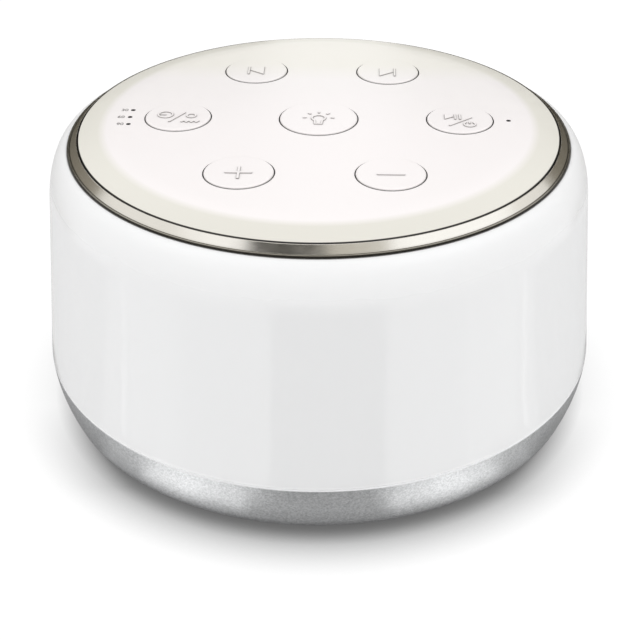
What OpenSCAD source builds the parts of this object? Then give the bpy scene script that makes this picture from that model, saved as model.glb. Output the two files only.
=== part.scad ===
// White noise sound machine: a round night-light shell on a silver speaker base,
// with seven sprung keys in a domed top panel.
// Millimetres, +Z up, origin on the floor at the centre of the round body.

/* [Body] */
// Widest diameter, at the seam between base and light shell
body_d = 104; // [98:0.5:114]
// Overall height, from the floor to the tops of the keys
body_h = 55; // [52:0.5:62]
// Clearance between pieces that locate in one another
fit = 0.1; // [0.05:0.01:0.15]
// Chamfer on both edges of the seam between base and shell
seam_chamfer = 0.2; // [0.1:0.05:0.4]

/* [Base housing] */
// Height of the silver band, from its underside to the seam
base_h = 9.8; // [9.4:0.1:11]
// How far the base draws in from the seam to its lower edge, on the radius
base_draw_in = 2.1; // [1.4:0.1:2.6]
// Fullness of the base's curved side, where 1 is straight
base_fullness = 1.75; // [1.2:0.05:2.4]
// Rounding between the base's side and its underside
base_edge_r = 1; // [0.6:0.1:1.4]
// Wall of the base
base_wall = 2; // [1.6:0.1:2.2]
// Thickness of the base's floor
floor_t = 2; // [1.8:0.1:2.2]
// Height of the tongue that stands up inside the shell
tongue_h = 2.5; // [2:0.1:3.5]
// Thickness of that tongue
tongue_t = 1.4; // [1:0.1:1.6]

/* [Feet] */
// How far the rubber feet stand out below the base
foot_h = 1.6; // [1.2:0.1:2.2]
// Diameter of a foot
foot_d = 9; // [7:0.5:10]
// Depth of the recess that holds a foot
foot_recess = 0.6; // [0.4:0.1:0.8]
// Distance of the feet's centres inside the base's lower edge
foot_inset = 8.9; // [7:0.1:10]

/* [Light shell] */
// Wall of the translucent shell
shell_wall = 2.2; // [1.8:0.1:2.4]
// Lean of the shell's side from upright, in degrees
shell_lean = 5.2; // [4.2:0.1:6]
// Height of the rounded shoulder
shoulder_h = 7.75; // [6:0.25:9]
// How far the shoulder rounds in to the trim ring, on the radius
shoulder_in = 3.95; // [3.2:0.05:4.5]

/* [Trim ring] */
// Width of the ring seen from above
ring_w = 1.75; // [1.6:0.05:2.2]
// Width of the narrow lip at the ring's foot
ring_lip_w = 0.3; // [0.25:0.05:0.5]
// Height of that lip's top above the shell
ring_lip_h = 0.45; // [0.4:0.05:0.6]
// Height of the shadow gap between the lip and the shell
ring_foot_gap = 0.25; // [0.15:0.05:0.25]
// Depth of that gap, on the radius
ring_foot_in = 0.2; // [0.1:0.05:0.25]
// Fall of the ring's bevel, from the panel down to the lip
ring_bevel_h = 1.15; // [0.9:0.05:1.3]
// Width of the groove between the bevel and the lip
ring_groove_w = 0.15; // [0.1:0.05:0.2]
// Height of the ledge under the panel's edge above the shell
ring_ledge_t = 0.2; // [0.1:0.05:0.4]
// Width of that ledge
ring_ledge_w = 0.8; // [0.6:0.05:1]
// Depth of the spigot that drops inside the shell
ring_spigot_h = 1.7; // [1.2:0.1:2]

/* [Top panel] */
// Shadow gap between the panel's edge and the ring, on the radius
panel_gap = 0.3; // [0.15:0.05:0.4]
// Thickness of the panel's skin
panel_t = 1.8; // [1.5:0.1:2]
// Width of the curved margin round the flat middle
panel_margin_w = 7.75; // [7:0.25:8.5]
// Fall of that margin to the panel's edge
panel_drop = 1.3; // [1:0.1:1.6]
// Thickness at the panel's edge
panel_edge_t = 1.5; // [1.2:0.1:1.8]
// Thickness of the skirt that centres the panel in the ring
panel_skirt_t = 1.6; // [1.2:0.1:2]
// Depth of that skirt
panel_skirt_h = 1.8; // [1.2:0.1:2.4]

/* [Keys] */
// Distance of the outer keys' centres inside the rim of the panel's flat middle
key_inset = 9.9; // [9:0.1:11.2]
// Diameter of an outer key
key_d = 11.8; // [11:0.1:12.4]
// Diameter of the centre key
light_key_d = 14; // [12:0.1:15]
// Clearance round a key, on the radius
key_gap = 0.2; // [0.15:0.01:0.3]
// How far the keys stand above the panel
key_proud = 0.3; // [0.1:0.05:0.5]
// Travel of a key
key_travel = 0.5; // [0.3:0.05:0.6]
// Rounding of a key's top edge
key_edge_r = 0.35; // [0.2:0.05:0.6]
// Thickness of a key's top
key_top_t = 1.3; // [1:0.1:1.5]
// Thickness of a key's side
key_wall = 1.1; // [0.9:0.1:1.3]
// Width of the flange that keeps a key in the panel
key_flange_w = 0.9; // [0.7:0.1:1.2]
// Thickness of that flange
key_flange_t = 0.8; // [0.6:0.1:0.9]
// Width of the two lugs that stop a key from turning
key_lug_w = 1.5; // [1.2:0.1:1.8]
// Diameter of the stem that presses the switch
key_stem_d = 4; // [3.4:0.1:4.6]
// Thickness of the ribs inside a key
key_rib_t = 0.8; // [0.6:0.1:1]
// Wall of the collars that guide the keys
collar_t = 0.7; // [0.6:0.1:1]
// Depth of those collars below the panel's skin
collar_h = 2.4; // [2:0.1:2.8]

/* [Switches and control board] */
// Height of a switch, from the board to the top of its plunger
switch_h = 4.8; // [4.6:0.1:5.2]
// Side of a switch's square housing
switch_w = 6; // [5.6:0.1:6.6]
// Height of that housing
switch_body_h = 3.5; // [3.2:0.1:3.8]
// Diameter of a plunger
plunger_d = 3.5; // [3:0.1:3.8]
// Depth of the bottom of the panel's skin above the control board
board_drop = 6.7; // [6.4:0.1:7.2]
// Space between the control board's edge and the panel's skirt
board_edge_gap = 2.8; // [2.4:0.1:4.8]
// Thickness of the control board
control_board_t = 1.2; // [1:0.1:1.6]
// Free height between the control board and the reflector's deck
board_clear = 1.5; // [1.4:0.1:2]
// Diameter of the panel's fixing posts
post_d = 5.2; // [4.8:0.1:5.6]
// Diameter of a light pipe where it shows in the panel
pipe_d = 0.75; // [0.6:0.05:1]
// Gap between an outer key's collar and a light pipe's flange
pipe_side_gap = 0.3; // [0.2:0.05:0.4]
// Angle between neighbouring timer lights, in degrees
pipe_step = 5.1; // [4.6:0.1:6]

/* [Reflector core] */
// How far the reflector draws in from its foot to its deck, on the radius
core_taper = 2; // [1:0.1:3]
// Wall of the reflector
core_wall = 1.8; // [1.4:0.1:2]
// Thickness of the flange that rests on the base
core_flange_t = 1.4; // [1.2:0.1:1.6]
// Height of the bosses below that flange
core_boss_h = 3; // [2.6:0.1:3.2]
// Diameter of those bosses
core_boss_d = 6; // [5.4:0.1:6.6]
// Distance of the housing screws inside the rim of the reflector's flange
housing_screw_inset = 6.5; // [6:0.1:7]

/* [Night light] */
// Width of the ring board that carries the lamps
led_board_w = 10; // [9.6:0.1:10.6]
// Thickness of that board
led_board_t = 1; // [0.8:0.1:1.6]
// Number of lamps
led_count = 16; // [12:4:20]
// Side of a lamp
led_w = 5; // [4:0.1:5.4]
// Height of a lamp
led_h = 1.6; // [1.2:0.1:1.9]

/* [Speaker] */
// Diameter of the speaker's flange
speaker_d = 51; // [49.5:0.5:54]
// Depth of the speaker, from flange to back plate
speaker_h = 22.2; // [21.4:0.1:24]
// Thickness of the pressed frame
frame_t = 0.8; // [0.6:0.1:1]
// Thickness of the foam gasket
gasket_t = 1.6; // [1.4:0.1:1.8]
// Distance of the speaker's screws outside its flange
speaker_screw_offset = 3.7; // [3.5:0.1:4.3]
// Travel of the cone, each way
cone_travel = 0.6; // [0.4:0.1:0.8]
// Diameter of the voice coil's former, inside
former_d = 14; // [13:0.1:14.6]
// Diameter of the magnet
magnet_d = 29; // [28:0.5:31]
// Thickness of the magnet
magnet_t = 6; // [5:0.1:7]
// Thickness of the plates above and below the magnet
plate_t = 2.2; // [2:0.1:2.6]

/* [Speaker grille] */
// Thickness of the perforated disc
grille_t = 1; // [0.8:0.1:1.2]
// Diameter of a hole in it
grille_hole_d = 2.6; // [2:0.1:3]
// Distance between neighbouring holes
grille_pitch = 4.4; // [4.2:0.1:4.5]
// Rings of holes round the middle one
grille_rings = 5; // [3:1:5]

/* [Main board] */
// Width of the main board
main_board_w = 31; // [30:0.5:34]
// Length of the main board, from its rounded edge to its front edge
main_board_l = 14.3; // [13.8:0.1:14.8]
// Thickness of the main board
main_board_t = 1; // [0.8:0.1:1.2]
// Height of the pads that carry it
main_pad_h = 1; // [0.8:0.1:1.2]
// Width of the power inlet's shell
inlet_w = 9; // [8.6:0.1:9.4]
// Height of the power inlet's shell
inlet_h = 3.2; // [3:0.05:3.4]
// Depth of the power inlet
inlet_l = 7.4; // [6.6:0.1:8]
// Sheet thickness of the power inlet's shell
inlet_t = 0.3; // [0.2:0.02:0.4]

/* [Screws] */
// Shank diameter of the housing and panel screws
screw_d = 2.4; // [2.2:0.05:2.6]
// Head diameter of those screws
screw_head_d = 4.6; // [4.2:0.1:4.8]
// Head height of those screws
screw_head_h = 1.4; // [1.2:0.1:1.6]
// Shank diameter of the small board and speaker screws
small_screw_d = 1.8; // [1.6:0.05:2]
// Head diameter of the small screws
small_head_d = 3.4; // [3:0.1:3.6]
// Head height of the small screws
small_head_h = 1; // [0.8:0.1:1.2]

/* [Wiring] */
// Diameter of a wire over its insulation
wire_d = 1; // [0.8:0.05:1.2]
// Width of the ribbon cable
ribbon_w = 8; // [7:0.5:9]
// Thickness of the ribbon cable
ribbon_t = 0.3; // [0.2:0.05:0.4]

/* [Hidden] */
$fn = 96;
small_fn = 48;
over = 1;               // extra length of a cutting tool past the face that it cuts
curve_steps = 12;       // straight steps in a curved outline

// Heights, from the floor upwards
floor_under_z = foot_h;
floor_z = floor_under_z + floor_t;
seam_z = floor_under_z + base_h;
flange_z = seam_z - 0.4;                       // underside of the reflector's flange
flange_top_z = flange_z + core_flange_t;
boss_z = flange_z - core_boss_h;               // foot of the reflector's screw bosses
led_board_top_z = flange_top_z + led_board_t;

// Heights, from the keys downwards
panel_top_z = body_h - key_proud;
panel_under_z = panel_top_z - panel_t;
panel_edge_z = panel_top_z - panel_drop;
panel_seat_z = panel_edge_z - panel_edge_t;
shell_top_z = panel_seat_z - ring_ledge_t;
shoulder_z = shell_top_z - shoulder_h;
board_top_z = panel_under_z - board_drop;
board_under_z = board_top_z - control_board_t;
deck_z = board_under_z - board_clear;          // top face of the reflector's deck
switch_top_z = board_top_z + switch_body_h;
plunger_top_z = board_top_z + switch_h;
flange_gap = 0.1;                              // free play above a key's flange
key_flange_top_z = panel_under_z - flange_gap;
key_flange_z = key_flange_top_z - key_flange_t;
key_inner_z = body_h - key_top_t;              // underside of a key's top

// Radii of the outside
body_r = body_d / 2;
shoulder_r = body_r - (shoulder_z - seam_z) * tan(shell_lean);
ring_r = shoulder_r - shoulder_in;
ring_bore_r = ring_r - ring_w;
panel_r = ring_bore_r - panel_gap;
panel_flat_r = panel_r - panel_margin_w;
ring_seat_w = 1.2;                             // land on the shell under the ring
ring_land_w = 0.15;                            // flat on top of the ring, at its bore
ring_groove_h = 0.12;                          // depth of the groove under the bevel
ring_groove_slope = 0.02;
ring_edge = 0.08;                              // chamfer on the lip's outer edge
shell_mouth_r = ring_r - ring_seat_w;
ring_spigot_r = shell_mouth_r - fit;
ring_inner_r = ring_bore_r - ring_ledge_w;
panel_skirt_r = ring_inner_r - fit;
key_place_r = panel_flat_r - key_inset;
control_board_r = panel_skirt_r - panel_skirt_t - board_edge_gap;
tongue_r = body_r - shell_wall - fit;
tongue_inner_r = tongue_r - tongue_t;
tongue_chamfer = 0.3;
tongue_top_r = tongue_r - tongue_h * tan(shell_lean);   // it leans with the shell

// Base
edge_start = 20;                               // angle where the lower rounding starts
base_low_r = body_r - base_draw_in;
base_low_z = floor_under_z + base_edge_r * (1 - sin(edge_start));
foot_place_r = base_low_r - foot_inset;
function base_side_r(z) =
    body_r - base_draw_in * pow(max(0, (seam_z - z) / (seam_z - base_low_z)), base_fullness);
housing_screw_turn = 45;
housing_post_d = screw_head_d + 3;
housing_post_web = 2;                          // web that a housing screw clamps
housing_pocket_d = screw_head_d + 0.6;
housing_shank_l = housing_post_web + core_boss_h + 0.2;

// Keys: place, size and order round the panel
key_names = ["light", "play", "next", "previous", "timer", "volume_up", "volume_down"];
function key_angle(i) = (i - 1) * 60;
function key_distance(i) = i == 0 ? 0 : key_place_r;
function key_r(i) = (i == 0 ? light_key_d : key_d) / 2;
function key_flange_r(i) = key_r(i) + key_flange_w;
collar_gap = 0.2;                              // clearance of a flange in its collar
function collar_inner_r(i) = key_flange_r(i) + collar_gap;
function collar_outer_r(i) = collar_inner_r(i) + collar_t;
lug_reach = 0.8;                               // how far a lug enters its slot
lug_gap = 0.2;                                 // clearance at each side of a lug

// Posts below the panel
post_turn = 30;
short_post_turn = 90;
post_hole_gap = 0.4;
post_head_gap = 0.3;                           // between a panel screw's head and the core
panel_screw_grip = 4.5;                        // thread length in a post
deck_t = core_wall;

// Light pipes, as [angle] round the panel: three timer lights and one power light
pipe_angles = [180 - pipe_step, 180, 180 + pipe_step, 0];
pipe_gap = 0.05;
pipe_flange_d = pipe_d + 0.7;
pipe_place_r = key_place_r + collar_outer_r(1) + pipe_side_gap + pipe_flange_d / 2;
pipe_flange_t = 0.6;
indicator_h = 0.7;
indicator_l = 1.6;
indicator_w = 0.8;
pipe_air = 0.2;                                // gap between a light and its pipe

// Night light ring
core_flange_r = tongue_inner_r - 0.3;
led_board_r = core_flange_r - 0.6;
led_board_inner_r = led_board_r - led_board_w;
core_foot_r = led_board_inner_r - 0.4;
core_deck_r = core_foot_r - core_taper;
housing_screw_place_r = core_flange_r - housing_screw_inset;
post_place_r = core_deck_r - core_wall - screw_head_d / 2 - post_head_gap;
led_place_r = (led_board_r + led_board_inner_r) / 2;
led_turn = 180 / led_count;
led_screw_place_r = led_board_inner_r + small_head_d / 2 + 0.3;
led_screw_count = 4;
led_screw_turn = -360 / led_count;             // half-way between two lamps
led_boss_d = 4.4;
led_boss_h = 2.4;

// Speaker, measured upwards from the underside of its flange
speaker_r = speaker_d / 2;
speaker_screw_place_r = speaker_r + speaker_screw_offset;
speaker_z = floor_z + gasket_t;
frame_top_z = speaker_z + frame_t;
yoke_top_z = speaker_z + speaker_h;
yoke_z = yoke_top_z - plate_t;
magnet_z = yoke_z - magnet_t;
front_plate_z = magnet_z - plate_t;
basket_top_z = front_plate_z - frame_t;
basket_low_r = speaker_r - 0.9;
basket_high_r = magnet_d / 2 + 0.1;
spider_z = basket_top_z - 3;
spider_ledge_w = 1.4;
function basket_r(z) = basket_low_r
    + (basket_high_r - basket_low_r) * (z - frame_top_z) / (basket_top_z - frame_top_z);
frame_mouth_r = speaker_r - 3.7;
speaker_ear_r = 2.9;
former_r = former_d / 2;
former_t = 0.25;
coil_t = 0.3;
magnet_gap = 0.4;                              // air on each side of the coil
pole_r = former_r - magnet_gap;
front_plate_bore_r = former_r + former_t + coil_t + magnet_gap;
surround_t = 0.4;
surround_roll_r = 1.65;
surround_r = frame_mouth_r - 1.25;             // centre of the rolled edge
surround_z = frame_top_z + surround_t / 2;
cone_t = 0.5;
cone_rim_r = surround_r - surround_roll_r - 0.1;
cone_rim_w = 0.9;
cone_rim_z = frame_top_z + surround_t;
cone_neck_r = former_r + former_t + 0.05;
cone_neck_z = spider_z - 1;
cap_r = former_r + 0.9;
cap_h = 2.4;
cap_t = 0.4;
cap_air = 0.1;
cone_slope = (cone_neck_z - cone_rim_z) / (cone_rim_r - cone_rim_w - cone_neck_r);
cap_rim_z = cone_neck_z - (cap_r - cone_neck_r) * cone_slope - cap_air;
cap_ball_r = (cap_r * cap_r + cap_h * cap_h) / (2 * cap_h);
speaker_screw_turn = 45;
speaker_boss_d = 4.6;
terminal_x = 0;
terminal_w = 5;
terminal_h = 4.5;
terminal_t = 1;
terminal_y = basket_low_r - 0.9;               // its inner face

// Grille
grille_r = grille_rings * grille_pitch + grille_hole_d / 2 + 2.6;
grille_seat_w = 1.2;
grille_mouth_r = grille_r - grille_seat_w;
gasket_inner_r = frame_mouth_r + 0.2;
gasket_r = speaker_r;

// Main board and power inlet
main_board_z = floor_z + main_pad_h;
main_board_top_z = main_board_z + main_board_t;
main_board_r = tongue_inner_r - 0.5;
main_board_y = main_board_r - main_board_l;
main_screw_inset = 3.2;
main_screw_x = main_board_w / 2 - main_screw_inset;
main_screw_y = main_board_r - 6;
main_boss_d = 4.4;
inlet_z = main_board_top_z + inlet_h / 2;
inlet_recess = 0.4;
inlet_mouth_y = base_side_r(inlet_z) - inlet_recess;
inlet_gap = 0.15;
inlet_tongue_t = 0.7;

// Ribbon cable: it hangs from the control board and turns out to the main board
ribbon_x = -9;
ribbon_y = control_board_r - 9.5;
ribbon_turn_r = 1.5;
ribbon_plug_w = ribbon_w + 2;
ribbon_plug_l = 3;
ribbon_plug_h = 1.9;
ribbon_plug_y = main_board_y + 2.9;
ribbon_socket_h = board_clear - 0.2;
ribbon_run_z = main_board_top_z + ribbon_plug_h + 1;

// Plugs of the speaker and lamp leads on the main board
lead_plug_w = 6;
lead_plug_l = 3;
lead_plug_h = 2.4;
lead_plug_y = ribbon_plug_y;
lead_step = 2;
lamp_plug_y = main_board_r - 7.5;
lamp_plug_h = 2;
lamp_plug_l = 2.4;
side_part_x = 7;
coil_w = 3.6;
coil_part_h = 1.8;
capacitor_x = 8;
capacitor_d = 4;
capacitor_h = 3.6;

// Chips on the two boards
chip_w = 7;
chip_h = 1;
driver_w = 3;
driver_l = 4;

// Screw lengths and holes
board_screw_grip = 3;
small_grip = 2.4;
hole_gap = 0.2;                                // clearance of a screw in a plain hole
pilot_gap = 0.03;                              // clearance of a screw in its own thread
hole_d = screw_d + 2 * hole_gap;
pilot_d = screw_d + 2 * pilot_gap;
small_hole_d = small_screw_d + 2 * hole_gap;
small_pilot_d = small_screw_d + 2 * pilot_gap;

// ---------------------------------------------------------------- shared shapes

// Copies the children round the centre, the first one at angle first
module ring_of(count, distance, first = 0) {
    for (i = [0 : count - 1])
        rotate([0, 0, first + i * 360 / count])
            translate([distance, 0, 0])
                children();
}

// A tube standing on height z
module tube(outer_r, inner_r, z, h) {
    translate([0, 0, z])
        difference() {
            cylinder(r = outer_r, h = h);
            translate([0, 0, -over])
                cylinder(r = inner_r, h = h + 2 * over);
        }
}

// An upright rod of diameter d, standing on height z
module rod(d, z, h) {
    translate([0, 0, z])
        cylinder(d = d, h = h, $fn = small_fn);
}

// A box centred on x and y, standing on height z
module block(x, y, z, w, l, h) {
    translate([x - w / 2, y - l / 2, z])
        cube([w, l, h]);
}

// A pan-head screw pointing up, its head's upper face at height z
module screw_up(d, head_d, head_h, shank_l, z) {
    rod(head_d, z - head_h, head_h);
    rod(d, z - head_h, head_h + shank_l);
}

// A pan-head screw pointing down, its head's lower face at height z
module screw_down(d, head_d, head_h, shank_l, z) {
    rod(head_d, z, head_h);
    rod(d, z - shank_l, head_h + shank_l);
}

// A slot with round ends, centred, lying in the plane of the sketch
module stadium(w, h) {
    square([w - h, h], center = true);
    for (side = [-1, 1])
        translate([side * (w - h) / 2, 0])
            circle(d = h, $fn = small_fn);
}

// A wire that eases from one point to another, both ends level and pointing along Y
module wire(from, to) {
    sides = 10;
    rings = curve_steps;
    function ease(t) = t * t * (3 - 2 * t);
    function spot(t) = from + [0, (to - from).y * t, (to - from).z * ease(t)];
    function slope(t) = atan2((to - from).z * 6 * t * (1 - t), (to - from).y);
    function rim(t) = [
        for (k = [0 : sides - 1])
            let (a = 360 * k / sides)
            spot(t) + wire_d / 2 * [cos(a), -sin(slope(t)) * sin(a), cos(slope(t)) * sin(a)]];
    walls = [
        for (i = [0 : rings - 1])
            for (k = [0 : sides - 1])
                let (next = (k + 1) % sides)
                [i * sides + k, i * sides + next, (i + 1) * sides + next, (i + 1) * sides + k]];
    polyhedron(
        points = [for (i = [0 : rings]) for (p = rim(i / rings)) p],
        faces = concat(
            walls,
            [[for (k = [sides - 1 : -1 : 0]) k]],
            [[for (k = [0 : sides - 1]) rings * sides + k]]));
}

// ---------------------------------------------------------------- outer shells

// Side of the base from the seam down to the floor's edge, as [radius, height]
base_outline = concat(
    [[body_r - seam_chamfer, seam_z]],
    [for (i = [0 : curve_steps])
        let (z = seam_z - seam_chamfer - (seam_z - seam_chamfer - base_low_z) * i / curve_steps)
        [base_side_r(z), z]],
    [for (i = [1 : curve_steps / 2])
        let (a = edge_start + (90 - edge_start) * i / (curve_steps / 2))
        [base_low_r - base_edge_r * (cos(edge_start) - cos(a)),
         floor_under_z + base_edge_r * (1 - sin(a))]]);

// Inside of the base's wall, from the tongue's root down to the floor
tongue_root_z = seam_z - 1;
base_inner_top_z = tongue_root_z - 1;
base_inside = [
    [tongue_inner_r, tongue_root_z],
    [base_side_r(base_inner_top_z) - base_wall, base_inner_top_z],
    [base_side_r(floor_z) - base_wall, floor_z + 0.4],
    [base_side_r(floor_z) - base_wall - 0.4, floor_z]];

module base_bowl() {
    rotate_extrude()
        polygon(concat(
            [[tongue_inner_r, seam_z + tongue_h],
             [tongue_top_r - tongue_chamfer, seam_z + tongue_h],
             [tongue_top_r, seam_z + tongue_h - tongue_chamfer],
             [tongue_r, seam_z]],
            base_outline,
            [[grille_mouth_r, floor_under_z],
             [grille_mouth_r, floor_z - grille_t],
             [grille_r + fit, floor_z - grille_t],
             [grille_r + fit, floor_z]],
            [for (i = [len(base_inside) - 1 : -1 : 0]) base_inside[i]]));
}

module base_posts() {
    ring_of(4, housing_screw_place_r, housing_screw_turn)
        rod(housing_post_d, floor_z - floor_t / 2, boss_z - floor_z + floor_t / 2);
    ring_of(4, speaker_screw_place_r, speaker_screw_turn)
        rod(speaker_boss_d, floor_z - floor_t / 2, gasket_t + floor_t / 2);
    for (side = [-1, 1])
        translate([side * main_screw_x, main_screw_y, floor_z - floor_t / 2])
            cylinder(d = main_boss_d, h = main_pad_h + floor_t / 2, $fn = small_fn);
}

module base_housing() {
    color("#b9bbbd")
        difference() {
            union() {
                base_bowl();
                base_posts();
            }
            ring_of(4, foot_place_r)
                translate([0, 0, floor_under_z - over])
                    cylinder(d = foot_d + 2 * fit, h = foot_recess + over);
            ring_of(4, housing_screw_place_r, housing_screw_turn) {
                translate([0, 0, floor_under_z - over])
                    cylinder(d = housing_pocket_d, h = boss_z - housing_post_web - foot_h + over);
                rod(hole_d, floor_under_z, boss_z);
            }
            ring_of(4, speaker_screw_place_r, speaker_screw_turn)
                rod(small_pilot_d, speaker_z - small_grip, small_grip + over);
            for (side = [-1, 1])
                translate([side * main_screw_x, main_screw_y, main_board_z - small_grip + main_board_t])
                    cylinder(d = small_pilot_d, h = small_grip, $fn = small_fn);
            translate([0, main_board_r, inlet_z])
                rotate([-90, 0, 0])
                    linear_extrude(body_r - main_board_r + over)
                        stadium(inlet_w + 2 * inlet_gap, inlet_h + 2 * inlet_gap);
        }
}

module rubber_feet() {
    color("#3a3b3d")
        ring_of(4, foot_place_r)
            rotate_extrude()
                polygon([
                    [0, 0],
                    [foot_d / 2 - 0.5, 0],
                    [foot_d / 2, 0.5],
                    [foot_d / 2, foot_h + foot_recess],
                    [0, foot_h + foot_recess]]);
}

module housing_screws() {
    color("#8d8f92")
        ring_of(4, housing_screw_place_r, housing_screw_turn)
            screw_up(screw_d, screw_head_d, screw_head_h, housing_shank_l,
                     boss_z - housing_post_web);
}

// Holes of the grille: one in the middle and rings of six, twelve, eighteen and so on
module grille_holes() {
    for (q = [-grille_rings : grille_rings])
        for (r = [max(-grille_rings, -q - grille_rings) : min(grille_rings, -q + grille_rings)])
            translate([grille_pitch * (q + r / 2), grille_pitch * r * sin(60)])
                circle(d = grille_hole_d, $fn = 24);
}

module speaker_grille() {
    color("#4a4c4f")
        translate([0, 0, floor_z - grille_t])
            linear_extrude(grille_t)
                difference() {
                    circle(r = grille_r);
                    grille_holes();
                }
}

// A rounded shoulder from (low_r, low_z) up to (high_r, high_z), leaning as it starts
function shoulder(low_r, low_z, high_r, high_z, lean) = [
    for (i = [0 : 2 * curve_steps])
        let (a = 90 * i / (2 * curve_steps), up = (high_z - low_z) * sin(a))
        [high_r + (low_r - high_r - up * tan(lean) * cos(a)) * cos(a), low_z + up]];

module diffuser_shell() {
    outside = shoulder(shoulder_r, shoulder_z, ring_r, shell_top_z, shell_lean);
    inside = shoulder(shoulder_r - shell_wall, shoulder_z,
                      shell_mouth_r, shell_top_z - shell_wall, shell_lean);
    color("#f2f3f4")
        rotate_extrude()
            polygon(concat(
                [[body_r - shell_wall, seam_z],
                 [body_r - seam_chamfer, seam_z],
                 [body_r - seam_chamfer * tan(shell_lean), seam_z + seam_chamfer]],
                outside,
                [[shell_mouth_r, shell_top_z]],
                [for (i = [len(inside) - 1 : -1 : 0]) inside[i]]));
}

module trim_ring() {
    lip_top_z = shell_top_z + ring_lip_h;
    bevel_top_z = lip_top_z + ring_bevel_h;
    groove_z = lip_top_z - ring_groove_h;
    groove_outer_r = ring_r - ring_lip_w;
    bevel_foot_r = groove_outer_r - ring_groove_w;
    color("#b3aca2")
        rotate_extrude()
            polygon([
                [ring_bore_r, panel_seat_z],
                [ring_bore_r, bevel_top_z],
                [ring_bore_r + ring_land_w, bevel_top_z],
                [bevel_foot_r, lip_top_z],
                [bevel_foot_r + ring_groove_slope, groove_z],
                [groove_outer_r - ring_groove_slope, groove_z],
                [groove_outer_r, lip_top_z],
                [ring_r - ring_edge, lip_top_z],
                [ring_r, lip_top_z - ring_edge],
                [ring_r, shell_top_z + ring_foot_gap],
                [ring_r - ring_foot_in, shell_top_z + ring_foot_gap],
                [ring_r - ring_foot_in, shell_top_z],
                [ring_spigot_r, shell_top_z],
                [ring_spigot_r, shell_top_z - ring_spigot_h],
                [ring_inner_r, shell_top_z - ring_spigot_h],
                [ring_inner_r, panel_seat_z]]);
}

// ---------------------------------------------------------------- top panel and keys

// Skin of the panel: flat in the middle, with a margin that curves down to the edge
module panel_skin() {
    margin_ball_r = (pow(panel_margin_w, 2) + pow(panel_drop, 2)) / (2 * panel_drop);
    sweep = asin(panel_margin_w / margin_ball_r);
    margin = [
        for (i = [0 : curve_steps])
            let (a = sweep * i / curve_steps)
            [panel_flat_r + margin_ball_r * sin(a), panel_top_z - margin_ball_r * (1 - cos(a))]];
    skirt_inner_r = panel_skirt_r - panel_skirt_t;
    rotate_extrude()
        polygon(concat(
            [[0, panel_under_z], [0, panel_top_z]],
            margin,
            [[panel_r, panel_seat_z],
             [panel_skirt_r, panel_seat_z],
             [panel_skirt_r, panel_seat_z - panel_skirt_h],
             [skirt_inner_r, panel_seat_z - panel_skirt_h],
             [skirt_inner_r, panel_under_z - 0.6],
             [skirt_inner_r - 0.6, panel_under_z]]));
}

module key_collar(i) {
    difference() {
        tube(collar_outer_r(i), collar_inner_r(i), panel_under_z - collar_h, collar_h + panel_t / 2);
        block(0, 0, panel_under_z - collar_h - over,
              key_lug_w + 2 * lug_gap, 2 * collar_outer_r(i) + over, collar_h + over);
    }
}

module place_key(i) {
    rotate([0, 0, key_angle(i)])
        translate([key_distance(i), 0, 0])
            rotate([0, 0, -key_angle(i)])
                children();
}

module top_panel() {
    color("#f6f3ee")
        difference() {
            union() {
                panel_skin();
                for (i = [0 : len(key_names) - 1])
                    place_key(i) key_collar(i);
                ring_of(3, post_place_r, post_turn)
                    rod(post_d, deck_z, panel_under_z - deck_z + panel_t / 2);
                ring_of(3, post_place_r, short_post_turn)
                    rod(post_d, board_top_z, panel_under_z - board_top_z + panel_t / 2);
            }
            for (i = [0 : len(key_names) - 1])
                place_key(i)
                    translate([0, 0, panel_under_z - over])
                        cylinder(r = key_r(i) + key_gap, h = panel_t + 2 * over);
            for (a = pipe_angles)
                rotate([0, 0, a])
                    translate([pipe_place_r, 0, panel_under_z - over])
                        cylinder(d = pipe_d + 2 * pipe_gap, h = panel_t + 2 * over, $fn = small_fn);
            ring_of(3, post_place_r, post_turn)
                rod(pilot_d, deck_z - over, panel_screw_grip + over + 0.5);
            ring_of(3, post_place_r, short_post_turn)
                rod(small_pilot_d, board_top_z - over, board_screw_grip + over + 0.5);
        }
}

module panel_screws() {
    color("#8d8f92")
        ring_of(3, post_place_r, post_turn)
            screw_up(screw_d, screw_head_d, screw_head_h, deck_t + panel_screw_grip, deck_z - deck_t);
}

// A key: a hollow cap with a rounded top edge, a flange with two lugs, ribs and a stem
module key(i) {
    r = key_r(i);
    inner_r = r - key_wall;
    top_edge = [
        for (k = [0 : curve_steps / 2])
            let (a = 90 * k / (curve_steps / 2))
            [r - key_edge_r * (1 - cos(a)), body_h - key_edge_r * (1 - sin(a))]];
    color("#f4f1ec")
        place_key(i) {
            rotate_extrude()
                polygon(concat(
                    [[inner_r, key_flange_z],
                     [key_flange_r(i), key_flange_z],
                     [key_flange_r(i), key_flange_top_z],
                     [r, key_flange_top_z]],
                    top_edge,
                    [[0, body_h], [0, key_inner_z], [inner_r, key_inner_z]]));
            for (side = [-1, 1])
                block(0, side * (key_flange_r(i) - (key_wall - lug_reach) / 2), key_flange_z,
                      key_lug_w, key_wall + lug_reach, key_flange_t);
            rod(key_stem_d, plunger_top_z, key_inner_z - plunger_top_z + key_top_t / 2);
            for (turn = [45, 135])
                rotate([0, 0, turn])
                    block(0, 0, key_flange_z, 2 * inner_r + key_wall, key_rib_t,
                          key_inner_z - key_flange_z + key_top_t / 2);
        }
}

// ---------------------------------------------------------------- switches and board

plunger_air = 0.2;                             // free depth below a pressed plunger
plunger_base_h = 0.8;
plunger_base_d = plunger_d + 1;
plunger_well_z = board_top_z + 1;
plunger_z = plunger_well_z + key_travel + plunger_air;
switch_lid_t = 0.4;

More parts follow.
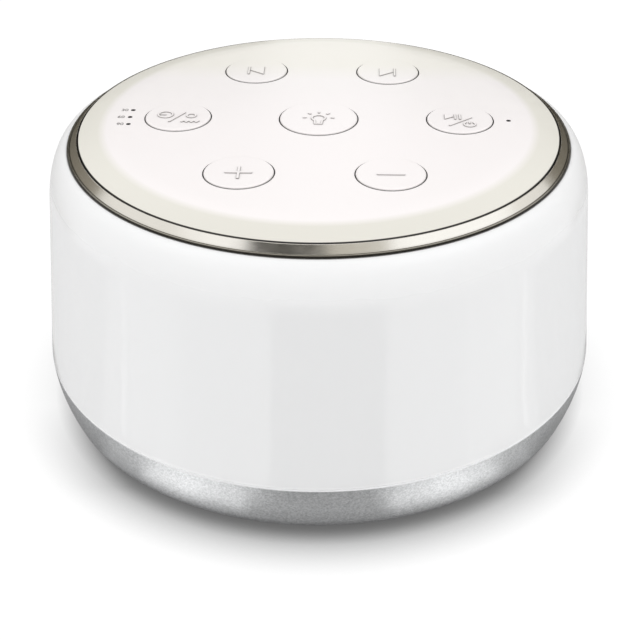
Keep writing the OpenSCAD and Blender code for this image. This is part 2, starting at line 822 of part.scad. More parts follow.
// A switch's plunger: a button with a wider foot held below the switch's lid
module plunger(i) {
    color("#2f3033")
        place_key(i) {
            rod(plunger_d, plunger_z, plunger_top_z - plunger_z);
            rod(plunger_base_d, plunger_z, plunger_base_h);
        }
}

module switch_housings() {
    color("#1f2022")
        for (i = [0 : len(key_names) - 1])
            place_key(i)
                difference() {
                    block(0, 0, board_top_z, switch_w, switch_w, switch_body_h);
                    rod(plunger_d + 2 * key_gap, plunger_well_z, switch_h);
                    translate([0, 0, plunger_well_z])
                        cylinder(d = plunger_base_d + 2 * key_gap,
                                 h = switch_top_z - switch_lid_t - plunger_well_z, $fn = small_fn);
                }
}

module control_board() {
    color("#2f6b46")
        difference() {
            translate([0, 0, board_under_z])
                cylinder(r = control_board_r, h = control_board_t);
            ring_of(3, post_place_r, post_turn)
                rod(post_d + 2 * post_hole_gap, board_under_z - over, control_board_t + 2 * over);
            ring_of(3, post_place_r, short_post_turn)
                rod(small_hole_d, board_under_z - over, control_board_t + 2 * over);
        }
}

module control_board_parts() {
    color("#26282b") {
        block(0, -key_place_r * 0.6, board_top_z, chip_w, chip_w, chip_h);
        for (side = [-1, 1])
            block(side * key_place_r * 0.55, 0, board_top_z, driver_w, driver_l, chip_h);
        block(ribbon_x, ribbon_y, board_under_z - ribbon_socket_h,
              ribbon_plug_w, ribbon_plug_l, ribbon_socket_h);
    }
}

module control_board_screws() {
    color("#8d8f92")
        ring_of(3, post_place_r, short_post_turn)
            screw_up(small_screw_d, small_head_d, small_head_h,
                     control_board_t + board_screw_grip, board_under_z);
}

module indicator_lights() {
    color("#d9dde0")
        for (a = pipe_angles)
            rotate([0, 0, a])
                block(pipe_place_r, 0, board_top_z, indicator_w, indicator_l, indicator_h);
}

module light_pipes() {
    pipe_z = board_top_z + indicator_h + pipe_air;
    color("#e8eef2")
        for (a = pipe_angles)
            rotate([0, 0, a])
                translate([pipe_place_r, 0, 0]) {
                    rod(pipe_d, pipe_z, panel_top_z - pipe_z);
                    rod(pipe_flange_d, panel_under_z - pipe_flange_t, pipe_flange_t);
                }
}

// ---------------------------------------------------------------- reflector and lamps

module reflector_core() {
    color("#fafafa")
        difference() {
            union() {
                rotate_extrude()
                    polygon([
                        [core_foot_r - core_wall, flange_z],
                        [core_flange_r, flange_z],
                        [core_flange_r, flange_top_z],
                        [core_foot_r, flange_top_z],
                        [core_deck_r, deck_z],
                        [0, deck_z],
                        [0, deck_z - deck_t],
                        [core_deck_r - core_wall, deck_z - deck_t]]);
                ring_of(4, housing_screw_place_r, housing_screw_turn)
                    rod(core_boss_d, boss_z, core_boss_h + core_flange_t / 2);
                ring_of(led_screw_count, led_screw_place_r, led_screw_turn)
                    rod(led_boss_d, flange_z - led_boss_h, led_boss_h + core_flange_t / 2);
            }
            ring_of(4, housing_screw_place_r, housing_screw_turn)
                translate([0, 0, boss_z - over])
                    cylinder(d = pilot_d,
                             h = over + housing_shank_l - housing_post_web + 0.3, $fn = small_fn);
            ring_of(led_screw_count, led_screw_place_r, led_screw_turn)
                rod(small_pilot_d, flange_top_z - small_grip - 0.3, small_grip + 0.3 + over);
            ring_of(3, post_place_r, post_turn)
                rod(hole_d, deck_z - deck_t - over, deck_t + 2 * over);
            block(ribbon_x, ribbon_y, deck_z - deck_t - over, ribbon_w + 1, 2, deck_t + 2 * over);
            translate([0, lamp_plug_y, flange_z - over])
                linear_extrude(core_flange_t + 2 * over)
                    stadium(lead_step + wire_d + 1.4, wire_d + 1.4);
        }
}

module lamp_board() {
    color("#f0f2ee")
        difference() {
            tube(led_board_r, led_board_inner_r, flange_top_z, led_board_t);
            ring_of(led_screw_count, led_screw_place_r, led_screw_turn)
                rod(small_hole_d, flange_top_z - over, led_board_t + 2 * over);
        }
}

module lamps() {
    lens_h = 0.3;
    color("#f7e9b8")
        ring_of(led_count, led_place_r, led_turn) {
            block(0, 0, led_board_top_z, led_w, led_w, led_h - lens_h);
            rod(led_w * 0.8, led_board_top_z, led_h);
        }
}

module lamp_board_screws() {
    color("#8d8f92")
        ring_of(led_screw_count, led_screw_place_r, led_screw_turn)
            screw_down(small_screw_d, small_head_d, small_head_h, led_board_t + small_grip,
                       led_board_top_z);
}

// ---------------------------------------------------------------- speaker

// Flat flange of the frame, with an ear for each screw
module frame_flange() {
    ear_neck_l = speaker_screw_place_r - speaker_r + 2;
    translate([0, 0, speaker_z])
        linear_extrude(frame_t)
            difference() {
                union() {
                    circle(r = speaker_r);
                    ring_of(4, speaker_screw_place_r, speaker_screw_turn)
                        circle(r = speaker_ear_r, $fn = small_fn);
                    ring_of(4, speaker_screw_place_r - ear_neck_l / 2, speaker_screw_turn)
                        square([ear_neck_l, 2 * speaker_ear_r], center = true);
                }
                circle(r = frame_mouth_r);
                ring_of(4, speaker_screw_place_r, speaker_screw_turn)
                    circle(d = small_hole_d, $fn = small_fn);
            }
}

// Cone of the frame, with the spider's ledge and the magnet's seat
module frame_basket() {
    ledge_low_z = spider_z - frame_t;
    ledge_r = basket_r(spider_z) - frame_t - spider_ledge_w;
    rotate_extrude()
        polygon([
            [basket_low_r, speaker_z],
            [basket_low_r, frame_top_z],
            [basket_high_r, basket_top_z],
            [basket_high_r, front_plate_z],
            [front_plate_bore_r, front_plate_z],
            [front_plate_bore_r, basket_top_z],
            [basket_high_r - frame_t, basket_top_z],
            [basket_r(spider_z) - frame_t, spider_z],
            [ledge_r, spider_z],
            [ledge_r, ledge_low_z],
            [basket_r(ledge_low_z) - frame_t, ledge_low_z],
            [basket_low_r - frame_t, frame_top_z],
            [basket_low_r - frame_t, speaker_z]]);
}

// Pressed frame: flange, basket with four windows, and the tab that holds the terminals
module speaker_frame() {
    window_low_z = frame_top_z + 1;
    window_high_z = spider_z - frame_t - 0.6;
    window_turn = 60;
    color("#9b9ea1") {
        frame_flange();
        difference() {
            frame_basket();
            for (quarter = [0 : 90 : 270])
                rotate([0, 0, quarter + 45 - window_turn / 2])
                    rotate_extrude(angle = window_turn)
                        translate([basket_high_r - 2, window_low_z])
                            square([speaker_r, window_high_z - window_low_z]);
        }
        block(terminal_x, terminal_y + terminal_t / 2, speaker_z,
              terminal_w, terminal_t, frame_t + terminal_h);
    }
}

module speaker_gasket() {
    color("#1d1e20")
        tube(gasket_r, gasket_inner_r, floor_z, gasket_t);
}

module speaker_screws() {
    color("#8d8f92")
        ring_of(4, speaker_screw_place_r, speaker_screw_turn)
            screw_down(small_screw_d, small_head_d, small_head_h, frame_t + small_grip - 0.3,
                       frame_top_z);
}

module speaker_front_plate() {
    color("#c9ccd0")
        tube(magnet_d / 2 - 0.5, front_plate_bore_r, front_plate_z, plate_t);
}

module speaker_magnet() {
    color("#3c3d40")
        tube(magnet_d / 2, front_plate_bore_r + 1.4, magnet_z, magnet_t);
}

module speaker_yoke() {
    color("#c9ccd0") {
        translate([0, 0, yoke_z])
            cylinder(d = magnet_d - 1, h = plate_t);
        translate([0, 0, basket_top_z])
            cylinder(r = pole_r, h = yoke_z - basket_top_z + plate_t / 2);
    }
}

module voice_coil() {
    former_z = cone_neck_z - cap_air;
    coil_z = front_plate_z - cone_travel;
    coil_h = plate_t + 2 * cone_travel;
    color("#b06a33") {
        tube(former_r + former_t, former_r, former_z, coil_z + coil_h - former_z);
        tube(former_r + former_t + coil_t, former_r + former_t / 2, coil_z, coil_h);
    }
}

module speaker_cone() {
    rim_in_r = cone_rim_r - cone_rim_w;
    color("#26272a")
        rotate_extrude()
            polygon([
                [rim_in_r, cone_rim_z],
                [cone_rim_r, cone_rim_z],
                [cone_rim_r, cone_rim_z + cone_t],
                [rim_in_r, cone_rim_z + cone_t],
                [cone_neck_r, cone_neck_z + cone_t],
                [cone_neck_r, cone_neck_z]]);
}

module dust_cap() {
    ball_z = cap_rim_z - cap_h + cap_ball_r;
    function cap_arc(r) = [
        for (i = [0 : curve_steps])
            let (a = acos((ball_z - cap_rim_z) / r) * i / curve_steps)
            [r * sin(a), ball_z - r * cos(a)]];
    outside = cap_arc(cap_ball_r);
    inside = cap_arc(cap_ball_r - cap_t);
    color("#1b1c1e")
        rotate_extrude()
            polygon(concat(outside, [for (i = [curve_steps : -1 : 0]) inside[i]]));
}

// Rolled edge between the cone's rim and the frame
module cone_surround() {
    foot_w = 1.4;
    color("#17181a")
        rotate_extrude() {
            intersection() {
                translate([surround_r, surround_z])
                    difference() {
                        circle(r = surround_roll_r, $fn = small_fn);
                        circle(r = surround_roll_r - surround_t, $fn = small_fn);
                    }
                translate([0, surround_z])
                    square([speaker_r, surround_roll_r + over]);
            }
            translate([surround_r + surround_roll_r - surround_t, frame_top_z])
                square([foot_w, surround_t]);
            translate([surround_r - surround_roll_r - foot_w + surround_t, frame_top_z])
                square([foot_w, surround_t]);
        }
}

// Corrugated disc that centres the coil
module cone_spider() {
    waves = 3;
    wave_h = 0.45;
    spider_t = 0.35;
    flat_w = 1.3;
    in_r = former_r + former_t + 0.05;
    out_r = basket_r(spider_z + spider_t) - frame_t - fit;
    steps = 36;
    function wave(u) = wave_h * (1 - cos(360 * waves * u)) / 2;
    line = concat(
        [[in_r, 0]],
        [for (i = [0 : steps])
            [in_r + 0.4 + (out_r - flat_w - in_r - 0.4) * i / steps, wave(i / steps)]],
        [[out_r, 0]]);
    color("#c49a4a")
        translate([0, 0, spider_z])
            rotate_extrude()
                polygon(concat(
                    line,
                    [for (i = [len(line) - 1 : -1 : 0]) line[i] + [0, spider_t]]));
}

// ---------------------------------------------------------------- main board and wiring

module main_board() {
    color("#2f6b46")
        difference() {
            translate([0, 0, main_board_z])
                linear_extrude(main_board_t)
                    intersection() {
                        translate([-main_board_w / 2, main_board_y])
                            square([main_board_w, body_r]);
                        circle(r = main_board_r);
                    }
            for (side = [-1, 1])
                translate([side * main_screw_x, main_screw_y, main_board_z - over])
                    cylinder(d = small_hole_d, h = main_board_t + 2 * over, $fn = small_fn);
        }
}

module main_board_parts() {
    color("#26282b") {
        block(ribbon_x, ribbon_plug_y, main_board_top_z, ribbon_plug_w, ribbon_plug_l, ribbon_plug_h);
        block(terminal_x, lead_plug_y, main_board_top_z, lead_plug_w, lead_plug_l, lead_plug_h);
        block(0, lamp_plug_y, main_board_top_z, lead_plug_w, lamp_plug_l, lamp_plug_h);
        block(-side_part_x, lamp_plug_y, main_board_top_z, driver_l, driver_w, chip_h);
        block(side_part_x, lamp_plug_y, main_board_top_z, coil_w, coil_w, coil_part_h);
        translate([capacitor_x, ribbon_plug_y, 0])
            rod(capacitor_d, main_board_top_z, capacitor_h);
    }
}

module main_board_screws() {
    color("#8d8f92")
        for (side = [-1, 1])
            translate([side * main_screw_x, main_screw_y, 0])
                screw_down(small_screw_d, small_head_d, small_head_h, small_grip - 0.3,
                           main_board_top_z);
}

// Power socket: a drawn metal shell with a contact tongue inside
module power_inlet() {
    back_t = 1.2;
    color("#c7cacd")
        translate([0, inlet_mouth_y, inlet_z])
            rotate([90, 0, 0]) {
                difference() {
                    linear_extrude(inlet_l)
                        stadium(inlet_w, inlet_h);
                    translate([0, 0, -over])
                        linear_extrude(inlet_l - back_t + over)
                            stadium(inlet_w - 2 * inlet_t, inlet_h - 2 * inlet_t);
                }
                translate([0, 0, 1])
                    linear_extrude(inlet_l - back_t / 2 - 1)
                        square([inlet_w - 2.3, inlet_tongue_t], center = true);
            }
}

module ribbon_cable() {
    top_z = board_under_z - ribbon_socket_h;
    turn_y = ribbon_y + ribbon_turn_r;
    plug_top_z = main_board_top_z + ribbon_plug_h;
    bend_r = min(ribbon_turn_r, ribbon_run_z - plug_top_z);
    color("#e9e6df")
        translate([ribbon_x - ribbon_w / 2, 0, 0])
            rotate([90, 0, 90])
                linear_extrude(ribbon_w) {
                    translate([ribbon_y - ribbon_t / 2, ribbon_run_z + ribbon_turn_r])
                        square([ribbon_t, top_z - ribbon_run_z - ribbon_turn_r]);
                    translate([turn_y, ribbon_run_z + ribbon_turn_r])
                        intersection() {
                            difference() {
                                circle(r = ribbon_turn_r + ribbon_t / 2, $fn = small_fn);
                                circle(r = ribbon_turn_r - ribbon_t / 2, $fn = small_fn);
                            }
                            translate([-2 * ribbon_turn_r, -2 * ribbon_turn_r])
                                square(2 * ribbon_turn_r);
                        }
                    translate([turn_y, ribbon_run_z - ribbon_t / 2])
                        square([ribbon_plug_y - bend_r - turn_y, ribbon_t]);
                    translate([ribbon_plug_y - bend_r, ribbon_run_z - bend_r])
                        intersection() {
                            difference() {
                                circle(r = bend_r + ribbon_t / 2, $fn = small_fn);
                                circle(r = bend_r - ribbon_t / 2, $fn = small_fn);
                            }
                            square(2 * ribbon_turn_r);
                        }
                }
}

module speaker_leads() {
    start_y = terminal_y + terminal_t;
    lead_z = speaker_z + frame_t + terminal_h - 1;
    plug_z = main_board_top_z + lead_plug_h / 2;
    plug_face_y = lead_plug_y - lead_plug_l / 2;
    color("#a4312a")
        for (side = [-1, 1])
            let (x = terminal_x + side * lead_step / 2)
            wire([x, start_y, lead_z], [x, plug_face_y, plug_z]);
}

module lamp_leads() {
    color("#a4312a")
        for (side = [-1, 1])
            translate([side * lead_step / 2, lamp_plug_y, main_board_top_z + lamp_plug_h])
                cylinder(d = wire_d, h = flange_top_z - main_board_top_z - lamp_plug_h, $fn = small_fn);
}

// ---------------------------------------------------------------- the nodes

base_housing();
speaker_grille();
rubber_feet();
housing_screws();
diffuser_shell();
trim_ring();
top_panel();
panel_screws();
key(0);  // key_light
key(1);  // key_play
key(2);  // key_next
key(3);  // key_previous
key(4);  // key_timer
key(5);  // key_volume_up
key(6);  // key_volume_down
plunger(0);  // plunger_light
plunger(1);  // plunger_play
plunger(2);  // plunger_next
plunger(3);  // plunger_previous
plunger(4);  // plunger_timer
plunger(5);  // plunger_volume_up
plunger(6);  // plunger_volume_down
switch_housings();
control_board();
control_board_parts();
control_board_screws();
indicator_lights();
light_pipes();
reflector_core();
lamp_board();
lamps();
lamp_board_screws();
speaker_frame();
speaker_gasket();
speaker_screws();
speaker_front_plate();
speaker_magnet();
speaker_yoke();
voice_coil();
speaker_cone();
dust_cap();
cone_surround();
cone_spider();
main_board();
main_board_parts();
main_board_screws();
power_inlet();
ribbon_cable();
speaker_leads();
lamp_leads();
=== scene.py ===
"""White noise sound machine: finishes, relief icons, timer numbers, studio and camera.

Everything is in metres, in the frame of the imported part: the origin is on the
floor at the centre of the round body, +Z is up and the front looks along -Y.
"""

import math

import bmesh
import bpy
import numpy as np
from mathutils import Matrix, Vector


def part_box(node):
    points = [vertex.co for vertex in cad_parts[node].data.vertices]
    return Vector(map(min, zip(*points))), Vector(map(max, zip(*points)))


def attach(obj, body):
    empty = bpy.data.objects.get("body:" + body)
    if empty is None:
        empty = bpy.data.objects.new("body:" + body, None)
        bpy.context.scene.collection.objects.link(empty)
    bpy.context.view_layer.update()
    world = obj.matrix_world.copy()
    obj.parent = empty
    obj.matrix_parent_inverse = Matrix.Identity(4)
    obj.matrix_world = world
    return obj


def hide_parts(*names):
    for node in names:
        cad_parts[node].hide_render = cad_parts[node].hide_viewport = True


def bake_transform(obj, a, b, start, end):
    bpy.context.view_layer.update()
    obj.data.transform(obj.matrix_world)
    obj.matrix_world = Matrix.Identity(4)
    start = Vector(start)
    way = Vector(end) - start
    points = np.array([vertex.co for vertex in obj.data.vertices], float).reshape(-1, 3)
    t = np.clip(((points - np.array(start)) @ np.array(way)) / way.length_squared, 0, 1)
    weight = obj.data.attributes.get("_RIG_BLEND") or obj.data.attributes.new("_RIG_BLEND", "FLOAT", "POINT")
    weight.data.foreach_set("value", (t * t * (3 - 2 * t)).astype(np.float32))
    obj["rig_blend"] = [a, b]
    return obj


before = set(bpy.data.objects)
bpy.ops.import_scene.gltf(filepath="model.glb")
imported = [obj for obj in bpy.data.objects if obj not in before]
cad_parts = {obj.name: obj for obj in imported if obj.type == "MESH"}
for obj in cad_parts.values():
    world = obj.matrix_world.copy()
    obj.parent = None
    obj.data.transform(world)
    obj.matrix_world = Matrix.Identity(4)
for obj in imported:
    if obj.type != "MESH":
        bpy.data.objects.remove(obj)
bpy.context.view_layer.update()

MM = 0.001

# ------------------------------------------------------------------ sizes

PANEL_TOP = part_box("top_panel")[1].z
SHELL_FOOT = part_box("diffuser_shell")[0].z      # the seam between base and shell
PANEL_FLAT_R = 35.28 * MM        # where the panel's curved margin starts
PANEL_MARGIN_W = 7.75 * MM
PANEL_DROP = 1.3 * MM
PANEL_R = 43.03 * MM
RING_BORE_R = 43.33 * MM
RING_LIP_R = 44.68 * MM          # where the ring's bevel ends and its lip begins
RING_R = 45.08 * MM

# Heights or radii between which a finish changes, from and to; most of them bound painted shade and painted
# light.
BASE_SHADE_Z = (0.6 * MM, 3.4 * MM)                     # painted shade: the base darkens near the floor
# painted light: the base's chamfer under the shell is painted pale
BASE_LIP_Z = (SHELL_FOOT - 0.30 * MM, SHELL_FOOT - 0.05 * MM)
# painted light: the shell's foot is painted pale
SHELL_EDGE_Z = (SHELL_FOOT + 0.25 * MM, SHELL_FOOT + 0.7 * MM)
# painted light: the shell's shoulder is painted lighter; its gloss changes here too
SHOULDER_Z = (43.0 * MM, 49.0 * MM)
RING_SEAM_Z = (51.3 * MM, 51.6 * MM)                    # the shell's top under the ring, painted dark there as painted shade
RING_SEAM_R = (RING_R + 0.05 * MM, RING_R + 0.30 * MM)
# painted shade: outside this edge the ring's lip is painted darker
RING_LIP_EDGE_R = (RING_LIP_R - 0.10 * MM, RING_LIP_R + 0.05 * MM)
# painted shade at the ring's bore edge and foot edge
RING_BORE_EDGE_R = (RING_BORE_R + 0.005 * MM, RING_BORE_R + 0.03 * MM)
RING_FOOT_EDGE_R = (RING_R - 0.10 * MM, RING_R - 0.02 * MM)
# the panel's margin: ivory, with painted shade
PANEL_RIM_R = (PANEL_FLAT_R + 2.7 * MM, PANEL_FLAT_R + 4.3 * MM)
# painted shade in the gap between the panel and the ring
PANEL_GAP_SHADE_R = (PANEL_R - 0.08 * MM, PANEL_R - 0.01 * MM)

# Depths (Y) between which the panel's tone and its painted shade change, from and to.
# painted shade: the margin is darker towards the front
PANEL_FRONT_Y = (-40.0 * MM, -22.0 * MM)
# the painted shade in that gap fades out towards the back
PANEL_GAP_SHADE_Y = (4.0 * MM, 20.0 * MM)
PANEL_BACK_Y = (-4.0 * MM, 16.0 * MM)
PANEL_IVORY_Y = (18.0 * MM, 25.0 * MM)

RELIEF_H = 0.17 * MM             # how far the icons stand above the keys
RELIEF_BEVEL = 0.05 * MM
RELIEF_SINK = 0.05 * MM          # part of a relief that lies inside its key
STROKE = 0.42 * MM               # width of the plus and minus signs' lines
BAR_STROKE = 0.34 * MM           # previous and next
BULB_STROKE = 0.32 * MM
FINE_STROKE = 0.30 * MM          # timer and play/power
ICON_SHIFT = -0.55 * MM          # the icons sit a little towards the front of their keys

PRINT_H = 0.02 * MM              # thickness of the printed numbers
NUMBER_H = 0.93 * MM             # height of a printed figure
FIGURE_SHARE = 0.7               # height of a figure as a share of its font's size
# middle of each printed number, in mm
TIMER_LABELS = {"30": (-35.50, 3.03), "60": (-35.75, 0.0), "90": (-35.50, -3.03)}

SURROUND_FOOT_W = 1.4 * MM       # glued feet of the speaker's rolled edge
SPIDER_RIM_W = 1.3 * MM
SPIDER_HUB_W = 0.4 * MM

SCREW_HEAD_R = 2.3 * MM
CROSS_SIZE = (2.4 * MM, 0.5 * MM, 0.05 * MM)    # one arm of a screw's cross recess
CROSS_TURN = 0.35                # how far the crosses are turned, in radians

SMOOTH_LIMIT = 34.0              # facets that differ less, in degrees, shade as one face

CAMERA_SENSOR = 36.0
CAMERA_LENS = 76.43
CAMERA_PITCH = 32.699            # angles in degrees
CAMERA_ROLL = -0.166
CAMERA_TURN = 1.76               # round the object, seen from above
CAMERA_DISTANCE = 268.13 * MM
CAMERA_TARGET = (0.135 * MM, 0.0, 11.624 * MM)

FLOOR_R = 3.0
FLOOR_CLEAR = 0.02 * MM          # so that no face of the feet lies in the floor's plane
SHADOW_REACH = 12.0 * MM         # how near above the floor the object darkens it
SHADOW_FRONT_Y = (-38.0 * MM, -14.0 * MM)       # there the shadow in front of the object fades
SHADOW_CORE_R = (44.0 * MM, 52.5 * MM)          # there the shadow under the object ends
SHADOW_LEAST = 0.11              # the floor's least glow, and how softly it is reached
SHADOW_SOFT = 0.12

# ------------------------------------------------------------------ node helpers


class Shader:
    """A material with its node tree, its Principled shader and object coordinates."""

    def __init__(self, name):
        self.material = bpy.data.materials.new(name)
        self.material.use_nodes = True
        self.tree = self.material.node_tree
        self.nodes = self.tree.nodes
        self.links = self.tree.links
        self.surface = self.nodes["Principled BSDF"]
        self.output = self.nodes["Material Output"]
        self.place = self.nodes.new("ShaderNodeTexCoord").outputs["Object"]

    def node(self, kind, **settings):
        made = self.nodes.new(kind)
        for key, value in settings.items():
            setattr(made, key, value)
        return made

    def link(self, source, target):
        self.links.new(source, target)

    def set(self, **values):
        for key, value in values.items():
            self.surface.inputs[key.replace("_", " ")].default_value = value

    def noise(self, scale, detail=3.0, roughness=0.5, vector=None):
        made = self.node("ShaderNodeTexNoise")
        made.inputs["Scale"].default_value = scale
        made.inputs["Detail"].default_value = detail
        made.inputs["Roughness"].default_value = roughness
        self.link(vector or self.place, made.inputs["Vector"])
        return made.outputs["Fac"]

    def cells(self, scale):
        made = self.node("ShaderNodeTexVoronoi")
        made.inputs["Scale"].default_value = scale
        self.link(self.place, made.inputs["Vector"])
        return made

    def bands(self, way, scale, distortion=0.0):
        made = self.node("ShaderNodeTexWave", bands_direction=way)
        made.inputs["Scale"].default_value = scale
        made.inputs["Distortion"].default_value = distortion
        self.link(self.place, made.inputs["Vector"])
        return made.outputs["Fac"]

    def stretched(self, x, y, z):
        made = self.node("ShaderNodeMapping")
        made.inputs["Scale"].default_value = (x, y, z)
        self.link(self.place, made.inputs["Vector"])
        return made.outputs["Vector"]

    def remap(self, value, low, high, from_low=0.3, from_high=0.7):
        made = self.node("ShaderNodeMapRange")
        made.inputs["From Min"].default_value = from_low
        made.inputs["From Max"].default_value = from_high
        made.inputs["To Min"].default_value = low
        made.inputs["To Max"].default_value = high
        self.link(value, made.inputs["Value"])
        return made.outputs["Result"]

    def blend(self, amount, low, high):
        made = self.node("ShaderNodeMix", data_type="RGBA")
        for socket, value in (("A", low), ("B", high)):
            target = next(i for i in made.inputs if i.name == socket and i.type == "RGBA")
            if isinstance(value, tuple):
                target.default_value = (*value, 1.0)
            else:
                self.link(value, target)
        self.link(amount, made.inputs["Factor"])
        return next(o for o in made.outputs if o.type == "RGBA")

    def math(self, operation, first, second=None):
        made = self.node("ShaderNodeMath", operation=operation)
        for socket, value in zip(made.inputs, (first, second)):
            if value is None:
                continue
            if isinstance(value, (int, float)):
                socket.default_value = value
            else:
                self.link(value, socket)
        return made.outputs[0]

    def axis(self, letter, vector=None):
        """One coordinate of a point: X to the right, Y to the back or Z, its height; or one of a vector."""
        split = self.node("ShaderNodeSeparateXYZ")
        self.link(vector or self.place, split.inputs[0])
        return split.outputs[letter]

    def radius(self):
        """Distance of a point from the object's upright axis."""
        x, y = self.axis("X"), self.axis("Y")
        square = self.math("ADD", self.math("MULTIPLY", x, x), self.math("MULTIPLY", y, y))
        return self.math("SQRT", square)

    def bump(self, height, distance, strength=1.0, normal=None):
        made = self.node("ShaderNodeBump")
        made.inputs["Distance"].default_value = distance
        made.inputs["Strength"].default_value = strength
        self.link(height, made.inputs["Height"])
        if normal:
            self.link(normal, made.inputs["Normal"])
        return made.outputs["Normal"]

    def paint_gap_shade(self, colour, reach, shade_colour=(0.10, 0.095, 0.09)):
        """Paints shade into a colour: darkens it in gaps and grooves narrower than reach, where light
        doesn't get.
        """
        made = self.node("ShaderNodeAmbientOcclusion")
        made.samples = 8
        made.inputs["Distance"].default_value = reach
        return self.blend(self.remap(made.outputs["AO"], 0.0, 1.0, 0.35, 0.95), shade_colour, colour)

    def soft_edges(self, radius):
        made = self.node("ShaderNodeBevel")
        made.samples = 4
        made.inputs["Radius"].default_value = radius
        return made.outputs["Normal"]


def moulded(name, low, high, rough=(0.4, 0.5), grain=900.0, grain_h=0.01 * MM, cloud=35.0, **sockets):
    """Moulded or coated surface: slow colour drift, uneven gloss and fine grain."""
    s = Shader(name)
    s.link(s.blend(s.noise(cloud, 4.0), low, high), s.surface.inputs["Base Color"])
    s.link(s.remap(s.noise(cloud * 4.0), *rough), s.surface.inputs["Roughness"])
    s.link(s.bump(s.noise(grain, 2.0), grain_h, 0.6), s.surface.inputs["Normal"])
    s.set(**sockets)
    return s


# ------------------------------------------------------------------ outside finishes


def silver_base():
    """Satin silver lacquer: fine flakes that differ in tone and tilt, with painted shade near the floor and
    painted light on the chamfer under the shell.
    """
    s = Shader("silver_lacquer")
    shares = []
    for scale, channel, share in ((3900.0, "Red", 0.6), (7600.0, "Green", 0.4)):
        split = s.node("ShaderNodeSeparateColor")
        s.link(s.cells(scale).outputs["Color"], split.inputs[0])
        shares.append(s.math("MULTIPLY", split.outputs[channel], share))
    tone = s.math("ADD", *shares)
    lacquer = s.blend(tone, (0.31, 0.314, 0.318), (0.57, 0.575, 0.58))
    height = s.axis("Z")
    # painted shade: the lacquer turns dark towards the floor
    low = s.remap(height, 0.75, 0.0, *BASE_SHADE_Z)
    floor_shaded_lacquer = s.blend(low, lacquer, (0.10, 0.10, 0.10))
    # painted light: the chamfer under the shell is painted pale and not metallic, so no dark line shows in
    # the seam
    lip = s.remap(height, 0.0, 1.0, *BASE_LIP_Z)
    s.link(s.blend(lip, floor_shaded_lacquer, (0.95, 0.955, 0.96)), s.surface.inputs["Base Color"])
    s.link(s.remap(lip, 0.85, 0.0, 0.0, 1.0), s.surface.inputs["Metallic"])
    s.link(s.remap(tone, 0.43, 0.55, 0.0, 1.0), s.surface.inputs["Roughness"])
    s.link(s.bump(tone, 0.018 * MM, 0.4), s.surface.inputs["Normal"])
    s.set(IOR=1.5)
    return s


def light_shell():
    """Milky shell: light inside the wall, smooth skin, faint flow marks; painted light on the shoulder and
    the foot, painted shade in its gaps and under the ring.
    """
    s = Shader("milky_shell")
    flow = s.noise(60.0, 3.0, 0.5, s.stretched(1.0, 1.0, 0.12))
    wall = s.blend(flow, (0.852, 0.854, 0.857), (0.868, 0.870, 0.873))
    height = s.axis("Z")
    shoulder = s.remap(height, 0.0, 1.0, *SHOULDER_Z)
    # painted light: the shoulder is painted lighter, as where the top light falls
    milk_top_lit = s.blend(shoulder, wall, (0.888, 0.889, 0.891))
    # painted light: the shell's lowest edge is painted pale, over the painted shade of its gap
    foot = s.remap(height, 1.0, 0.0, *SHELL_EDGE_Z)
    # painted shade: the shell's top under the ring's lip is painted dark, and its gaps darker
    seam = s.math("MULTIPLY", s.remap(s.radius(), 1.0, 0.0, *RING_SEAM_R),
                  s.remap(height, 0.0, 1.0, *RING_SEAM_Z))
    gap_shaded = s.paint_gap_shade(s.blend(seam, milk_top_lit, (0.12, 0.115, 0.105)), 0.4 * MM)
    s.link(s.blend(foot, gap_shaded, (0.93, 0.931, 0.932)), s.surface.inputs["Base Color"])
    gloss = s.remap(s.noise(140.0, 3.0), 0.09, 0.13)
    s.link(s.math("ADD", gloss, s.math("MULTIPLY", shoulder, 0.30)), s.surface.inputs["Roughness"])
    s.link(s.bump(s.noise(700.0, 2.0), 0.002 * MM, 0.3), s.surface.inputs["Normal"])
    s.set(IOR=1.49, Subsurface_Weight=0.25, Subsurface_Scale=1.5 * MM, Subsurface_Radius=(1.0, 1.0, 1.0))
    return s


def trim_metal():
    """Champagne plating: polished bevel with a slight ripple, a lip painted darker as painted shade, and
    painted shade in its seams.
    """
    s = Shader("champagne_plating")
    radius = s.radius()
    plate = s.blend(s.noise(90.0, 3.0), (0.73, 0.70, 0.635), (0.77, 0.74, 0.675))
    # painted shade: the lip is the same plating, painted darker
    lip = s.blend(s.noise(90.0, 3.0), (0.38, 0.36, 0.31), (0.44, 0.42, 0.37))
    at_lip = s.remap(radius, 0.0, 1.0, *RING_LIP_EDGE_R)
    at_bore = s.remap(radius, 1.0, 0.0, *RING_BORE_EDGE_R)
    at_foot = s.remap(radius, 0.0, 1.0, *RING_FOOT_EDGE_R)
    # painted shade at the bore and foot edges, in the gaps to the panel and the shell
    gap_shaded = s.blend(s.math("MAXIMUM", at_bore, at_foot), s.blend(at_lip, plate, lip), (0.06, 0.055, 0.045))
    s.link(s.paint_gap_shade(gap_shaded, 0.5 * MM, (0.10, 0.09, 0.07)), s.surface.inputs["Base Color"])
    s.link(s.remap(s.noise(300.0, 2.0), 0.16, 0.22), s.surface.inputs["Roughness"])
    s.link(s.bump(s.noise(160.0, 2.0), 0.003 * MM, 0.5, s.soft_edges(0.12 * MM)),
           s.surface.inputs["Normal"])
    s.set(Metallic=1.0)
    return s


def warm_white(s):
    """Pink-white that turns a little greyer, then ivory, towards the back."""
    depth = s.axis("Y")
    middle = s.blend(s.noise(30.0, 3.0), (0.920, 0.881, 0.874), (0.930, 0.891, 0.884))
    back = s.blend(s.noise(30.0, 3.0), (0.892, 0.860, 0.849), (0.902, 0.870, 0.859))
    ivory = s.blend(s.noise(45.0, 3.0), (0.858, 0.836, 0.776), (0.868, 0.846, 0.788))
    towards = s.blend(s.remap(depth, 0.0, 1.0, *PANEL_BACK_Y), middle, back)
    return s.blend(s.remap(depth, 0.0, 1.0, *PANEL_IVORY_Y), towards, ivory)


